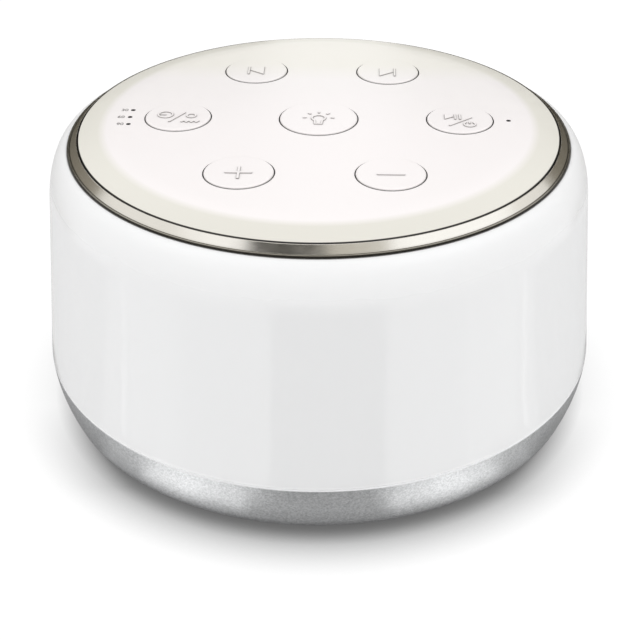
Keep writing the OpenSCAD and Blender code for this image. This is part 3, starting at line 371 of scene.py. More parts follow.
def panel_plastic():
    """Warm white panel: ivory with painted shade on the curved margin, fine satin, painted shade in the gap
    at its edge.
    """
    s = Shader("panel_satin")
    radius, depth = s.radius(), s.axis("Y")
    # the margin: ivory tint with painted shade for its slope, darker still towards the front
    rim = s.blend(s.noise(45.0, 3.0), (0.785, 0.765, 0.695), (0.805, 0.785, 0.718))
    rim = s.blend(s.remap(depth, 1.0, 0.0, *PANEL_FRONT_Y), rim, (0.755, 0.735, 0.668))
    # painted shade: the panel's edge is painted dark in the gap to the ring, at the front
    edge_gap_shade = s.math("MULTIPLY", s.remap(radius, 0.0, 1.0, *PANEL_GAP_SHADE_R),
                  s.remap(depth, 1.0, 0.0, *PANEL_GAP_SHADE_Y))
    face = s.blend(s.remap(radius, 0.0, 1.0, *PANEL_RIM_R), warm_white(s), rim)
    s.link(s.paint_gap_shade(s.blend(edge_gap_shade, face, (0.08, 0.075, 0.065)), 0.5 * MM), s.surface.inputs["Base Color"])
    s.link(s.remap(s.noise(400.0, 2.0), 0.34, 0.42), s.surface.inputs["Roughness"])
    s.link(s.bump(s.noise(1500.0, 2.0), 0.006 * MM, 0.4, s.soft_edges(0.08 * MM)),
           s.surface.inputs["Normal"])
    s.set(IOR=1.49)
    return s


def key_plastic():
    """The keys: as the panel, a touch smoother on top, with painted shade in the gaps round them."""
    s = Shader("key_satin")
    s.link(s.paint_gap_shade(warm_white(s), 0.5 * MM), s.surface.inputs["Base Color"])
    s.link(s.remap(s.noise(500.0, 2.0), 0.32, 0.4), s.surface.inputs["Roughness"])
    s.link(s.bump(s.noise(1700.0, 2.0), 0.005 * MM, 0.4), s.surface.inputs["Normal"])
    s.set(IOR=1.49)
    return s


def relief_plastic():
    """Raised icons: as the keys on top, with sides painted dark grey as painted shade."""
    s = Shader("icon_relief")
    upward = s.axis("Z", s.node("ShaderNodeNewGeometry").outputs["True Normal"])
    # painted shade: the icons' sides are painted dark grey, the tops keep the keys' colour
    side = s.remap(upward, 1.0, 0.0, 0.2, 0.98)
    s.link(s.blend(side, warm_white(s), (0.36, 0.34, 0.33)), s.surface.inputs["Base Color"])
    s.link(s.remap(s.noise(900.0), 0.36, 0.44), s.surface.inputs["Roughness"])
    s.set(IOR=1.49)
    return s


def print_ink():
    return moulded("grey_print", (0.10, 0.095, 0.09), (0.16, 0.15, 0.145), rough=(0.5, 0.65),
                   grain=2500.0, grain_h=0.004 * MM, cloud=900.0)


def light_pipe():
    """Smoky light pipes: they look dark while the lights behind them are off."""
    return moulded("smoky_acrylic", (0.035, 0.035, 0.038), (0.06, 0.06, 0.065), rough=(0.12, 0.2),
                   grain=2500.0, grain_h=0.002 * MM, cloud=700.0, IOR=1.49, Transmission_Weight=0.15)


def foot_rubber():
    return moulded("foot_rubber", (0.035, 0.035, 0.037), (0.06, 0.06, 0.062), rough=(0.6, 0.8),
                   grain=1600.0, grain_h=0.02 * MM, cloud=200.0)


def grille_metal():
    return moulded("grille_paint", (0.045, 0.046, 0.05), (0.07, 0.071, 0.075), rough=(0.42, 0.55),
                   grain=2200.0, grain_h=0.012 * MM, cloud=150.0, Metallic=0.35)


def screw_steel():
    """Zinc-plated screw: turned rings and small nicks."""
    s = Shader("zinc_plating")
    s.link(s.blend(s.noise(500.0, 4.0), (0.40, 0.405, 0.41), (0.58, 0.585, 0.59)),
           s.surface.inputs["Base Color"])
    s.link(s.remap(s.noise(1200.0, 3.0), 0.25, 0.42), s.surface.inputs["Roughness"])
    s.link(s.bump(s.noise(2600.0, 2.0), 0.01 * MM, 0.6), s.surface.inputs["Normal"])
    s.set(Metallic=1.0)
    return s


# Thin dark crosses for the screws' recesses: painted shade.
def recess_dark():
    return moulded("recess_shadow", (0.03, 0.03, 0.031), (0.05, 0.05, 0.052), rough=(0.5, 0.7),
                   grain=2000.0, cloud=600.0, Metallic=0.6)


def inlet_metal():
    """Tin-plated shell of the power socket, drawn along its depth."""
    s = Shader("tin_plating")
    drawn = s.noise(900.0, 3.0, 0.6, s.stretched(1.0, 0.08, 1.0))
    s.link(s.blend(drawn, (0.50, 0.505, 0.51), (0.68, 0.685, 0.69)), s.surface.inputs["Base Color"])
    s.link(s.remap(drawn, 0.22, 0.34), s.surface.inputs["Roughness"])
    s.link(s.bump(drawn, 0.006 * MM, 0.5), s.surface.inputs["Normal"])
    s.set(Metallic=1.0)
    return s


# ------------------------------------------------------------------ inside finishes


def black_plastic():
    return moulded("black_nylon", (0.02, 0.02, 0.022), (0.04, 0.04, 0.042), rough=(0.42, 0.6),
                   grain=1800.0, cloud=300.0)


def circuit_board():
    """Green solder mask over faint copper tracks and weave."""
    s = Shader("green_board")
    tracks = s.node("ShaderNodeTexBrick")
    tracks.inputs["Scale"].default_value = 240.0
    tracks.inputs["Mortar Size"].default_value = 0.05
    s.link(s.place, tracks.inputs["Vector"])
    mask = s.blend(s.noise(200.0, 3.0), (0.010, 0.075, 0.030), (0.018, 0.115, 0.050))
    s.link(s.blend(tracks.outputs["Fac"], mask, (0.03, 0.17, 0.07)), s.surface.inputs["Base Color"])
    s.link(s.remap(s.noise(900.0), 0.22, 0.34), s.surface.inputs["Roughness"])
    s.link(s.bump(tracks.outputs["Fac"], 0.02 * MM, 0.5), s.surface.inputs["Normal"])
    s.set(IOR=1.5)
    return s


def white_board():
    return moulded("white_solder_mask", (0.72, 0.735, 0.71), (0.80, 0.81, 0.79), rough=(0.25, 0.4),
                   grain=1500.0, cloud=120.0)


def lamp_plastic():
    """Phosphor under clear resin."""
    return moulded("lamp_phosphor", (0.74, 0.60, 0.16), (0.86, 0.78, 0.42), rough=(0.12, 0.24),
                   grain=1500.0, cloud=420.0, Coat_Weight=0.6, Coat_Roughness=0.05)


def clear_plastic():
    return moulded("indicator_resin", (0.60, 0.64, 0.66), (0.74, 0.77, 0.79), rough=(0.1, 0.2),
                   grain=2500.0, cloud=900.0, IOR=1.5, Transmission_Weight=0.3)


def white_plastic():
    return moulded("reflector_white", (0.83, 0.835, 0.835), (0.88, 0.885, 0.885), rough=(0.42, 0.55),
                   grain=1100.0, cloud=50.0)


def pressed_steel():
    """Zinc-plated sheet with rolling lines."""
    s = Shader("pressed_zinc")
    rolled = s.noise(700.0, 3.0, 0.6, s.stretched(1.0, 0.06, 0.06))
    s.link(s.blend(rolled, (0.42, 0.425, 0.43), (0.60, 0.605, 0.61)), s.surface.inputs["Base Color"])
    s.link(s.remap(s.noise(160.0, 3.0), 0.28, 0.45), s.surface.inputs["Roughness"])
    s.link(s.bump(rolled, 0.008 * MM, 0.5), s.surface.inputs["Normal"])
    s.set(Metallic=1.0)
    return s


def black_foam():
    """Open-cell foam of the gasket."""
    s = Shader("cell_foam")
    pores = s.cells(1600.0).outputs["Distance"]
    s.link(s.blend(s.remap(pores, 0.0, 1.0, 0.1, 0.6), (0.05, 0.05, 0.052), (0.02, 0.02, 0.021)),
           s.surface.inputs["Base Color"])
    s.link(s.bump(pores, 0.15 * MM, 0.8), s.surface.inputs["Normal"])
    s.set(Roughness=0.9, Sheen_Weight=0.2)
    return s


def ferrite():
    return moulded("sintered_ferrite", (0.028, 0.028, 0.031), (0.065, 0.065, 0.07), rough=(0.45, 0.7),
                   grain=1200.0, grain_h=0.04 * MM, cloud=260.0, Metallic=0.3)


def copper_coil():
    """Enamelled wire wound round the upright axis."""
    s = Shader("wound_copper")
    wire = s.bands("Z", 1100.0, 0.3)
    s.link(s.blend(wire, (0.30, 0.10, 0.035), (0.72, 0.34, 0.15)), s.surface.inputs["Base Color"])
    s.link(s.bump(wire, 0.06 * MM, 0.8), s.surface.inputs["Normal"])
    s.set(Metallic=0.9, Roughness=0.32)
    return s


def black_paper():
    """Pressed pulp with short fibres."""
    s = Shader("cone_pulp")
    fibres = s.noise(900.0, 8.0, 0.75)
    s.link(s.blend(fibres, (0.018, 0.018, 0.019), (0.06, 0.06, 0.062)), s.surface.inputs["Base Color"])
    s.link(s.remap(fibres, 0.6, 0.85), s.surface.inputs["Roughness"])
    s.link(s.bump(fibres, 0.05 * MM, 0.7), s.surface.inputs["Normal"])
    s.set(Sheen_Weight=0.15)
    return s


def black_rubber():
    return moulded("surround_rubber", (0.015, 0.015, 0.016), (0.03, 0.03, 0.031), rough=(0.4, 0.55),
                   grain=1400.0, cloud=160.0)


def spider_cloth():
    """Resin-dipped cotton with its weave."""
    s = Shader("dipped_cotton")
    weave = s.math("MAXIMUM", s.bands("X", 900.0, 0.6), s.bands("Y", 900.0, 0.6))
    s.link(s.blend(weave, (0.22, 0.13, 0.035), (0.55, 0.37, 0.13)), s.surface.inputs["Base Color"])
    s.link(s.bump(weave, 0.08 * MM, 0.8), s.surface.inputs["Normal"])
    s.set(Roughness=0.75, Sheen_Weight=0.3)
    return s


def ribbon_film():
    """Flat cable: pale film over a row of tracks."""
    s = Shader("ribbon_film")
    tracks = s.bands("X", 260.0)
    s.link(s.blend(tracks, (0.60, 0.58, 0.53), (0.78, 0.76, 0.72)), s.surface.inputs["Base Color"])
    s.link(s.bump(tracks, 0.05 * MM, 0.6), s.surface.inputs["Normal"])
    s.set(Roughness=0.35)
    return s


def wire_jacket():
    return moulded("wire_jacket", (0.30, 0.02, 0.016), (0.42, 0.035, 0.03), rough=(0.35, 0.5),
                   grain=2000.0, cloud=240.0)


FINISHES = {
    silver_base: ["base_housing"],
    grille_metal: ["speaker_grille"],
    foot_rubber: ["rubber_feet"],
    screw_steel: ["housing_screws", "panel_screws", "control_board_screws", "lamp_board_screws",
                  "speaker_screws", "main_board_screws"],
    light_shell: ["diffuser_shell"],
    trim_metal: ["trim_ring"],
    panel_plastic: ["top_panel"],
    key_plastic: ["key_light", "key_play", "key_next", "key_previous", "key_timer",
                  "key_volume_up", "key_volume_down"],
    black_plastic: ["plunger_light", "plunger_play", "plunger_next", "plunger_previous",
                    "plunger_timer", "plunger_volume_up", "plunger_volume_down",
                    "switch_housings", "control_board_parts", "main_board_parts"],
    circuit_board: ["control_board", "main_board"],
    white_board: ["lamp_board"],
    lamp_plastic: ["lamps"],
    light_pipe: ["light_pipes"],
    clear_plastic: ["indicator_lights"],
    white_plastic: ["reflector_core"],
    pressed_steel: ["speaker_frame", "speaker_front_plate", "speaker_yoke"],
    black_foam: ["speaker_gasket"],
    ferrite: ["speaker_magnet"],
    copper_coil: ["voice_coil"],
    black_paper: ["speaker_cone", "dust_cap"],
    black_rubber: ["cone_surround"],
    spider_cloth: ["cone_spider"],
    inlet_metal: ["power_inlet"],
    ribbon_film: ["ribbon_cable"],
    wire_jacket: ["speaker_leads", "lamp_leads"],
}


def read(items, field, width=1, kind=float):
    """One field of all items of a mesh, as an array with width columns."""
    values = np.empty(len(items) * width, kind)
    items.foreach_get(field, values)
    return values.reshape(-1, width) if width > 1 else values


def smooth_normals(obj):
    """Shades the facets of each curved face as one surface; no vertex moves."""
    mesh = obj.data
    face = np.repeat(np.arange(len(mesh.polygons)), read(mesh.polygons, "loop_total", kind=np.int64))
    normal = read(mesh.polygons, "normal", 3)[face]
    weight = np.maximum(read(mesh.polygons, "area")[face], 1e-14)
    grid = np.round(read(mesh.vertices, "co", 3) * 1e7).astype(np.int64)
    _, spot = np.unique(grid, axis=0, return_inverse=True)
    spot = spot.reshape(-1)[read(mesh.loops, "vertex_index", kind=np.int64)]
    order = np.argsort(spot, kind="stable")
    spot, normal, weight = spot[order], normal[order], weight[order]
    total = normal * weight[:, None]
    near = math.cos(math.radians(SMOOTH_LIMIT))
    step = 1
    while step < len(spot):
        here = np.nonzero(spot[step:] == spot[:-step])[0]
        if not len(here):
            break
        here = here[np.einsum("ij,ij->i", normal[here], normal[here + step]) > near]
        there = here + step
        np.add.at(total, here, normal[there] * weight[there, None])
        np.add.at(total, there, normal[here] * weight[here, None])
        step += 1
    total /= np.maximum(np.linalg.norm(total, axis=1), 1e-20)[:, None]
    result = np.empty_like(total)
    result[order] = total
    mesh.shade_smooth()
    mesh.normals_split_custom_set(result.tolist())


def dress_nodes():
    for make, names in FINISHES.items():
        shader = make()
        for name in names:
            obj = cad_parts[name]
            obj.data.materials.clear()
            obj.data.materials.append(shader.material)
            smooth_normals(obj)
    bare = set(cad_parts) - {n for names in FINISHES.values() for n in names}
    if bare:
        raise SystemExit(f"nodes without a finish: {sorted(bare)}")


def flexing_ring(name, node, rim_w, hub_w):
    """Stands for a CAD ring of the speaker: the same mesh, which bends as the cone moves.

    Its rim stays on the housing over the width rim_w, and its hub moves with the cone over hub_w.
    """
    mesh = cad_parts[node].data.copy()
    obj = bpy.data.objects.new(name, mesh)
    bpy.context.scene.collection.objects.link(obj)
    point = read(mesh.vertices, "co", 3)
    radius = np.hypot(point[:, 0], point[:, 1])
    rim, hub = radius.max() - rim_w, radius.min() + hub_w
    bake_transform(obj, "housing", "cone", start=(rim, 0, 0), end=(hub, 0, 0))
    # bake_transform() weighs along one line, and a ring bends alike all the way round
    share = np.clip((rim - radius) / (rim - hub), 0.0, 1.0)
    weight = share * share * (3 - 2 * share)
    mesh.attributes["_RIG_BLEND"].data.foreach_set("value", weight.astype(np.float32))
    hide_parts(node)


# ------------------------------------------------------------------ icons and numbers


def add_mesh(name, bm, material, body):
    mesh = bpy.data.meshes.new(name)
    bm.normal_update()
    bm.to_mesh(mesh)
    bm.free()
    obj = bpy.data.objects.new(name, mesh)
    bpy.context.scene.collection.objects.link(obj)
    mesh.materials.append(material)
    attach(obj, body)


def arc(cx, cy, r, start, end, steps=16):
    """Points of an arc, in mm, from angle start to angle end in degrees."""
    return [(cx + r * math.cos(math.radians(start + (end - start) * i / steps)),
             cy + r * math.sin(math.radians(start + (end - start) * i / steps)))
            for i in range(steps + 1)]


def stroke(bm, points, closed=False, width=STROKE):
    """A raised line along points in mm: a flat top with bevelled sides and square ends."""
    path = [Vector((x * MM, y * MM)) for x, y in points]
    count = len(path)
    half = width / 2
    profile = [(-half, -RELIEF_SINK), (-half, RELIEF_H - RELIEF_BEVEL), (-half + RELIEF_BEVEL, RELIEF_H),
               (half - RELIEF_BEVEL, RELIEF_H), (half, RELIEF_H - RELIEF_BEVEL), (half, -RELIEF_SINK)]
    rings = []
    for i, here in enumerate(path):
        before = path[i - 1] if (closed or i > 0) else None
        after = path[(i + 1) % count] if (closed or i < count - 1) else None
        way_in = (here - before).normalized() if before is not None else None
        way_out = (after - here).normalized() if after is not None else None
        way_in = way_in or way_out
        way_out = way_out or way_in
        along = (way_in + way_out).normalized()
        side = Vector((-along.y, along.x))
        wide = 1.0 / max(0.4, abs(side.dot(Vector((-way_in.y, way_in.x)))))
        rings.append([bm.verts.new((here.x + side.x * u * wide, here.y + side.y * u * wide, v))
                      for u, v in profile])
    pairs = list(zip(rings, rings[1:] + rings[:1])) if closed else list(zip(rings, rings[1:]))
    for a, b in pairs:
        for k in range(len(profile)):
            n = (k + 1) % len(profile)
            bm.faces.new((a[k], b[k], b[n], a[n]))
    if not closed:
        bm.faces.new(rings[0])
        bm.faces.new(list(reversed(rings[-1])))


def plate(bm, points):
    """A raised filled shape: points in mm run anticlockwise round a convex outline."""
    path = [Vector((x * MM, y * MM)) for x, y in points]
    centre = sum(path, Vector((0.0, 0.0))) / len(path)
    rings = []
    for inset, level in ((0.0, -RELIEF_SINK), (0.0, RELIEF_H - RELIEF_BEVEL), (RELIEF_BEVEL, RELIEF_H)):
        ring = []
        for here in path:
            moved = here + (centre - here).normalized() * inset
            ring.append(bm.verts.new((moved.x, moved.y, level)))
        rings.append(ring)
    for low, high in zip(rings, rings[1:]):
        for k in range(len(path)):
            n = (k + 1) % len(path)
            bm.faces.new((low[k], low[n], high[n], high[k]))
    bm.faces.new(rings[-1])
    bm.faces.new(list(reversed(rings[0])))


def plus_icon(bm):
    arm = 2.25
    root = STROKE / MM / 2 - 0.02       # the upright arms start just inside the level one
    stroke(bm, [(-arm, 0), (arm, 0)])
    stroke(bm, [(0, root), (0, arm)])
    stroke(bm, [(0, -root), (0, -arm)])


def minus_icon(bm):
    stroke(bm, [(-2.3, -0.1), (2.3, -0.1)])


def previous_icon(bm):
    stroke(bm, [(-1.4, -1.75), (-1.4, 1.85)], width=BAR_STROKE)
    plate(bm, [(-1.15, 0.1), (1.5, -1.85), (1.5, 1.95)])


def next_icon(bm):
    stroke(bm, [(1.3, -2.15), (1.3, 1.55)], width=BAR_STROKE)
    plate(bm, [(1.0, -0.3), (-1.6, 1.6), (-1.6, -2.2)])


def bulb_icon(bm):
    glass = arc(0, 0.1, 1.2, -52, 232, 24)
    cap = [(-0.62, -1.7), (-0.6, -2.35), (0.6, -2.35), (0.62, -1.7)]
    stroke(bm, glass + cap, closed=True, width=BULB_STROKE)
    for reach, angle in ((2.2, -5), (1.95, 42), (1.75, 90), (1.95, 138), (2.2, 185)):
        c, s = math.cos(math.radians(angle)), math.sin(math.radians(angle))
        stroke(bm, [(r * c, 0.5 + r * s) for r in (reach, reach + 0.6)], width=BULB_STROKE)


def timer_icon(bm):
    stroke(bm, arc(-2.3, 0.95, 1.3, 0, 345, 22), closed=True, width=FINE_STROKE)
    stroke(bm, [(-3.3, 1.0), (-2.2, 0.9)], width=FINE_STROKE)
    stroke(bm, [(-1.4, -2.1), (1.15, 2.0)], width=FINE_STROKE)
    stroke(bm, arc(2.4, 0.6, 0.8, 0, 335, 16), closed=True, width=FINE_STROKE)
    wave = [(0.85 + 0.45 * i, -1.55 if i % 2 else -2.15) for i in range(8)]
    stroke(bm, wave, width=FINE_STROKE)


def play_icon(bm):
    plate(bm, [(-2.75, 0.1), (-1.15, 1.2), (-2.75, 2.3)])
    for line in ([(-0.85, 0.1), (-0.85, 2.3)], [(0.0, 0.1), (0.0, 2.3)], [(-2.05, -2.55), (2.1, 1.0)],
                 arc(1.6, -1.95, 1.0, 125, 415, 18), [(1.6, -1.75), (1.6, -0.85)]):
        stroke(bm, line, width=FINE_STROKE)


ICONS = {
    "volume_up": plus_icon,
    "volume_down": minus_icon,
    "previous": previous_icon,
    "next": next_icon,
    "light": bulb_icon,
    "timer": timer_icon,
    "play": play_icon,
}


def relief_icons():
    material = relief_plastic().material
    for key, draw in ICONS.items():
        low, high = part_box(f"key_{key}")
        bm = bmesh.new()
        draw(bm)
        place = Matrix.Translation(((low.x + high.x) / 2, (low.y + high.y) / 2 + ICON_SHIFT, high.z))
        bmesh.ops.transform(bm, matrix=place, verts=bm.verts)
        add_mesh(f"icon_{key}", bm, material, f"{key}_key")


def panel_height(r):
    """Height of the panel's top at radius r."""
    if r <= PANEL_FLAT_R:
        return PANEL_TOP
    ball = (PANEL_MARGIN_W ** 2 + PANEL_DROP ** 2) / (2 * PANEL_DROP)
    return PANEL_TOP - ball + math.sqrt(ball ** 2 - (r - PANEL_FLAT_R) ** 2)


def timer_numbers():
    """Printed figures beside the timer lights, laid on the panel's surface."""
    material = print_ink().material
    for text, (x, y) in TIMER_LABELS.items():
        curve = bpy.data.curves.new(f"figure_{text}", "FONT")
        curve.body = text
        curve.size = NUMBER_H / FIGURE_SHARE
        curve.align_x = "CENTER"
        curve.align_y = "CENTER"
        curve.extrude = PRINT_H
        source = bpy.data.objects.new(f"figure_{text}", curve)
        bpy.context.scene.collection.objects.link(source)
        mesh = bpy.data.meshes.new_from_object(
            source.evaluated_get(bpy.context.evaluated_depsgraph_get()))
        bpy.data.objects.remove(source)
        bpy.data.curves.remove(curve)
        obj = bpy.data.objects.new(f"number_{text}", mesh)
        bpy.context.scene.collection.objects.link(obj)
        mesh.materials.clear()
        mesh.materials.append(material)
        for v in mesh.vertices:
            px, py = v.co.x + x * MM, v.co.y + y * MM
            v.co = (px, py, panel_height(math.hypot(px, py)) + v.co.z)
        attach(obj, "housing")


def screw_recesses():
    """Cross recess in the head of each screw that shows from below, drawn as a thin dark cross: painted
    shade.
    """
    low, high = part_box("housing_screws")
    reach = ((high.x - low.x) / 2 - SCREW_HEAD_R) / math.cos(math.radians(45))
    bm = bmesh.new()
    for quarter in range(4):
        a = math.radians(45 + 90 * quarter)
        centre = Vector((reach * math.cos(a), reach * math.sin(a), low.z))
        for turn in (CROSS_TURN, CROSS_TURN + math.pi / 2):
            made = bmesh.ops.create_cube(bm, size=1.0)["verts"]
            shape = (Matrix.Translation(centre) @ Matrix.Rotation(turn + a, 4, "Z")
                     @ Matrix.Diagonal((*CROSS_SIZE, 1.0)))
            bmesh.ops.transform(bm, matrix=shape, verts=made)
    add_mesh("screw_recesses", bm, recess_dark().material, "housing")


# ------------------------------------------------------------------ studio


def floor_finish():
    """Pale floor. What the camera and reflections see of it is white, with the object's shadow."""
    s = Shader("studio_floor")
    s.nodes.remove(s.surface)
    plain = s.node("ShaderNodeBsdfDiffuse")
    s.link(s.blend(s.noise(3.0, 2.0), (0.80, 0.80, 0.80), (0.82, 0.82, 0.82)), plain.inputs["Color"])
    lit = s.node("ShaderNodeBsdfDiffuse")
    lit.inputs["Color"].default_value = (0.20, 0.20, 0.20, 1.0)
    shade = s.node("ShaderNodeAmbientOcclusion")
    shade.samples = 32
    shade.inputs["Distance"].default_value = SHADOW_REACH
    front = s.remap(s.axis("Y"), 1.0, 0.3, *SHADOW_FRONT_Y)
    closed = s.math("MULTIPLY", front, s.math("SUBTRACT", 1.0, shade.outputs["AO"]))
    open_part = s.remap(s.math("SUBTRACT", 1.0, closed), 0.0, 1.0, 0.32, 1.0)
    depth = s.math("POWER", s.math("SUBTRACT", 1.0, open_part), 1.4)
    core = s.remap(s.radius(), 0.10, 0.85, *SHADOW_CORE_R)
    softened = s.node("ShaderNodeMath", operation="SMOOTH_MAX")
    s.link(s.math("MULTIPLY", s.math("SUBTRACT", 1.0, depth), core), softened.inputs[0])
    softened.inputs[1].default_value = SHADOW_LEAST
    softened.inputs[2].default_value = SHADOW_SOFT
    glow = s.node("ShaderNodeEmission")
    s.link(softened.outputs[0], glow.inputs["Strength"])
    seen = s.node("ShaderNodeAddShader")
    s.link(lit.outputs[0], seen.inputs[0])
    s.link(glow.outputs[0], seen.inputs[1])
    ray = s.node("ShaderNodeLightPath")
    shown = s.math("MAXIMUM", s.math("MAXIMUM", ray.outputs["Is Camera Ray"], ray.outputs["Is Glossy Ray"]),
                   ray.outputs["Is Transmission Ray"])
    mix = s.node("ShaderNodeMixShader")
    s.link(shown, mix.inputs[0])
    s.link(plain.outputs[0], mix.inputs[1])
    s.link(seen.outputs[0], mix.inputs[2])
    s.link(mix.outputs[0], s.output.inputs["Surface"])
    return s.material


def studio_floor():
    bm = bmesh.new()
    bmesh.ops.create_circle(bm, cap_ends=True, segments=96, radius=FLOOR_R)
    mesh = bpy.data.meshes.new("floor")
    bm.to_mesh(mesh)
    bm.free()
    mesh.materials.append(floor_finish())
    obj = bpy.data.objects.new("floor", mesh)
    obj.location.z = -FLOOR_CLEAR
    bpy.context.scene.collection.objects.link(obj)


def studio_world():
    world = bpy.data.worlds.new("studio")
    bpy.context.scene.world = world
    world.use_nodes = True
    nodes, links = world.node_tree.nodes, world.node_tree.links
    back = nodes["Background"]
    back.inputs["Color"].default_value = (1.0, 1.0, 1.0, 1.0)
    ray = nodes.new("ShaderNodeLightPath")
    first = nodes.new("ShaderNodeMath")
    first.operation = "MAXIMUM"
    links.new(ray.outputs["Is Camera Ray"], first.inputs[0])
    links.new(ray.outputs["Is Glossy Ray"], first.inputs[1])
    second = nodes.new("ShaderNodeMath")
    second.operation = "MAXIMUM"
    links.new(first.outputs[0], second.inputs[0])
    links.new(ray.outputs["Is Transmission Ray"], second.inputs[1])
    level = nodes.new("ShaderNodeMapRange")
    level.inputs["To Min"].default_value = WORLD_LEVEL
    level.inputs["To Max"].default_value = 1.0
    links.new(second.outputs[0], level.inputs["Value"])
    links.new(level.outputs["Result"], back.inputs["Strength"])


def direction(azimuth, elevation):
    """Unit vector; azimuth 0 is the front (-Y), 90 the right (+X)."""
    a, e = math.radians(azimuth), math.radians(elevation)
    return Vector((math.sin(a) * math.cos(e), -math.cos(a) * math.cos(e), math.sin(e)))


def softbox(name, azimuth, elevation, distance, width, height, level):
    """Area light; level is the brightness of its face, where 1 is white.

    Reflections don't see it: the cards stand in for its mirror image.
    """
    data = bpy.data.lights.new(name, "AREA")
    data.shape = "RECTANGLE"
    data.size = width
    data.size_y = height
    data.energy = level * math.pi * width * height
    obj = bpy.data.objects.new(name, data)
    way = direction(azimuth, elevation)
    obj.location = Vector((0, 0, SOFTBOX_AIM_Z)) + way * distance
    obj.rotation_mode = "QUATERNION"
    obj.rotation_quaternion = way.to_track_quat("Z", "Y")
    obj.visible_glossy = False
    bpy.context.scene.collection.objects.link(obj)


def card(name, bm, tone, place=None, far_tone=None, reach=None):
    """Card that only reflections see, as a studio uses to draw the edges of metal; tone 1 is white.

    With far_tone, the tone changes along Y over reach.
    """
    s = Shader(name)
    s.nodes.remove(s.surface)
    glow = s.node("ShaderNodeEmission")
    colour = s.blend(s.noise(6.0), tone, tuple(CARD_DRIFT * t for t in tone))
    if far_tone:
        colour = s.blend(s.remap(s.axis("Y"), 0.0, 1.0, *reach), colour, far_tone)
    s.link(colour, glow.inputs["Color"])
    s.link(glow.outputs[0], s.output.inputs["Surface"])
    mesh = bpy.data.meshes.new(name)
    bm.to_mesh(mesh)
    bm.free()
    mesh.materials.append(s.material)
    obj = bpy.data.objects.new(name, mesh)
    if place is not None:
        obj.matrix_world = place
    bpy.context.scene.collection.objects.link(obj)
    for ray in ("camera", "diffuse", "transmission", "volume_scatter", "shadow"):
        setattr(obj, f"visible_{ray}", False)


def flag(name, azimuth, elevation, distance, width, height, tone):
    """Flat card that faces the object."""
    bm = bmesh.new()
    bmesh.ops.create_grid(bm, x_segments=1, y_segments=1, size=0.5)
    way = direction(azimuth, elevation)
    turn = way.to_track_quat("Z", "Y").to_matrix().to_4x4()
    card(name, bm, tone, Matrix.Translation(Vector((0, 0, FLAG_AIM_Z)) + way * distance) @ turn
         @ Matrix.Diagonal((width, height, 1.0, 1.0)))


def side_wall(name, start, end):
    """Upright curved card round the object, from azimuth start to azimuth end, darker behind."""
    bm = bmesh.new()
    rows = []
    for i in range(WALL_STEPS + 1):
        way = direction(start + (end - start) * i / WALL_STEPS, 0.0) * WALL_R
        rows.append([bm.verts.new((way.x, way.y, z)) for z in WALL_Z])
    for a, b in zip(rows, rows[1:]):
        bm.faces.new((a[0], b[0], b[1], a[1]))
    card(name, bm, SIDE_NEAR, far_tone=SIDE_FAR, reach=WALL_FADE_Y)


def floor_card(name, near, far, near_span, far_span, tone):
    """Card lying on the floor between two radii; each edge runs between two azimuths."""
    bm = bmesh.new()
    rows = []
    for i in range(CARD_STEPS + 1):
        t = i / CARD_STEPS
        ends = []
        for radius, span in ((near, near_span), (far, far_span)):
            way = direction(span[0] + (span[1] - span[0]) * t, 0.0) * radius * MM
            ends.append(bm.verts.new((way.x, way.y, CARD_Z)))
        rows.append(ends)
    for a, b in zip(rows, rows[1:]):
        bm.faces.new((a[0], a[1], b[1], b[0]))
    card(name, bm, (tone,) * 3)


WORLD_LEVEL = 0.86
DARK = (0.015, 0.012, 0.006)
MEDIUM = (0.62, 0.602, 0.56)
SIDE_NEAR = (0.30, 0.28, 0.24)
SIDE_FAR = (0.10, 0.09, 0.07)
CARD_DRIFT = 1.05                # how far a card's tone drifts over its face

# Soft light from both sides; angles in degrees, the rest in metres.
SOFTBOX = {"elevation": 48, "distance": 0.7, "width": 0.45, "height": 0.40, "level": 1.35}
SOFTBOX_AIM_Z = 0.03

# What the ring and the shell's shoulder mirror: azimuth, elevation, distance, width, height, tone.
FLAGS = {
    "glow_left": (-57, 54, 0.66, 0.28, 0.22, (1.19, 1.20, 1.23)),
    "glow_right": (72, 49, 0.66, 0.66, 0.36, (1.26, 1.28, 1.32)),
    "flag_top": (-13, 60, 0.5, 0.26, 0.18, DARK),
    "flag_top_right": (22, 60, 0.5, 0.20, 0.18, MEDIUM),
}
FLAG_AIM_Z = 0.05

# What the shell's sides mirror: from and to which azimuth.
SIDE_WALLS = {"flag_right": (108, 172), "flag_left": (-172, -98)}
WALL_R = 0.14
WALL_Z = (0.001, 0.130)
WALL_FADE_Y = (0.030, 0.120)
WALL_STEPS = 16

CARD_Z = 0.8 * MM
CARD_STEPS = 12

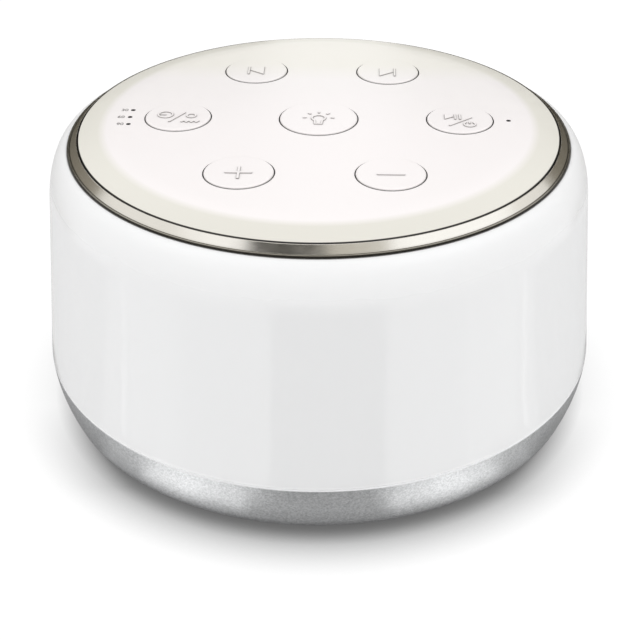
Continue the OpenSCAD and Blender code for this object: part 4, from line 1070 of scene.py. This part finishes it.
# What the shell and the base mirror: near and far radius in mm, azimuths at each, tone.
FLOOR_CARDS = {
    "front_near": (52.8, 69.0, (-8.0, 14.5), (-10.0, 17.5), 0.70),
    "front_far": (69.0, 260.0, (-10.0, 17.5), (-15.2, 25.8), 0.05),
    "base_left_outer": (52.8, 69.0, (-38.5, -32.0), (-41.1, -34.2), 2.15),
    "base_left": (52.8, 69.0, (-32.0, -22.5), (-34.2, -24.0), 2.45),
    "base_left_inner": (52.8, 69.0, (-22.5, -13.5), (-24.0, -14.4), 1.95),
    "base_right_inner": (52.8, 69.0, (16.3, 26.0), (17.0, 27.2), 1.95),
    "base_right": (52.8, 69.0, (26.0, 35.0), (27.2, 36.6), 2.45),
    "base_right_outer": (52.8, 69.0, (35.0, 43.0), (36.6, 45.0), 1.95),
    "base_far_left": (46.5, 60.0, (-150.0, -50.0), (-150.0, -53.0), 0.35),
    "base_far_right": (46.5, 60.0, (52.0, 150.0), (55.0, 150.0), 0.35),
    "tier_left": (69.5, 150.0, (-49.5, -33.0), (-67.5, -45.0), 1.25),
    "tier_right": (69.5, 150.0, (42.2, 56.0), (56.6, 75.5), 1.25),
    "streak_left": (69.0, 150.0, (-52.8, -51.0), (-71.6, -69.6), 1.7),
    "streak_right": (69.0, 150.0, (39.9, 41.0), (53.5, 54.9), 1.7),
    "streak_far_right": (69.0, 150.0, (59.0, 60.6), (78.2, 80.3), 1.7),
    "outer_left": (60.0, 141.0, (-150.0, -56.0), (-175.0, -78.0), 0.72),
    "outer_right": (60.0, 141.0, (60.0, 150.0), (82.5, 175.0), 0.72),
}


def studio_lights():
    softbox("softbox_left", -65, **SOFTBOX)
    softbox("softbox_right", 65, **SOFTBOX)
    for make, table in ((flag, FLAGS), (side_wall, SIDE_WALLS), (floor_card, FLOOR_CARDS)):
        for name, values in table.items():
            make(name, *values)


def studio_camera():
    data = bpy.data.cameras.new("camera")
    data.sensor_width = CAMERA_SENSOR
    data.lens = CAMERA_LENS
    data.clip_start, data.clip_end = 0.01, 20.0
    obj = bpy.data.objects.new("camera", data)
    pitch, roll = math.radians(CAMERA_PITCH), math.radians(CAMERA_ROLL)
    ahead = Vector((0.0, math.cos(pitch), -math.sin(pitch)))
    right = Vector((1.0, 0.0, 0.0))
    up = right.cross(ahead)
    rolled_right = right * math.cos(roll) + up * math.sin(roll)
    rolled_up = -right * math.sin(roll) + up * math.cos(roll)
    axes = Matrix((rolled_right, rolled_up, -ahead)).transposed().to_4x4()
    place = Matrix.Translation(Vector(CAMERA_TARGET) - ahead * CAMERA_DISTANCE) @ axes
    obj.matrix_world = Matrix.Rotation(math.radians(CAMERA_TURN), 4, "Z") @ place
    bpy.context.scene.collection.objects.link(obj)
    bpy.context.scene.camera = obj


studio_camera()
dress_nodes()
flexing_ring("surround_roll", "cone_surround", SURROUND_FOOT_W, SURROUND_FOOT_W)
flexing_ring("spider_disc", "cone_spider", SPIDER_RIM_W, SPIDER_HUB_W)
relief_icons()
timer_numbers()
screw_recesses()
studio_floor()
studio_world()
studio_lights()
bpy.context.scene.view_settings.view_transform = "Standard"
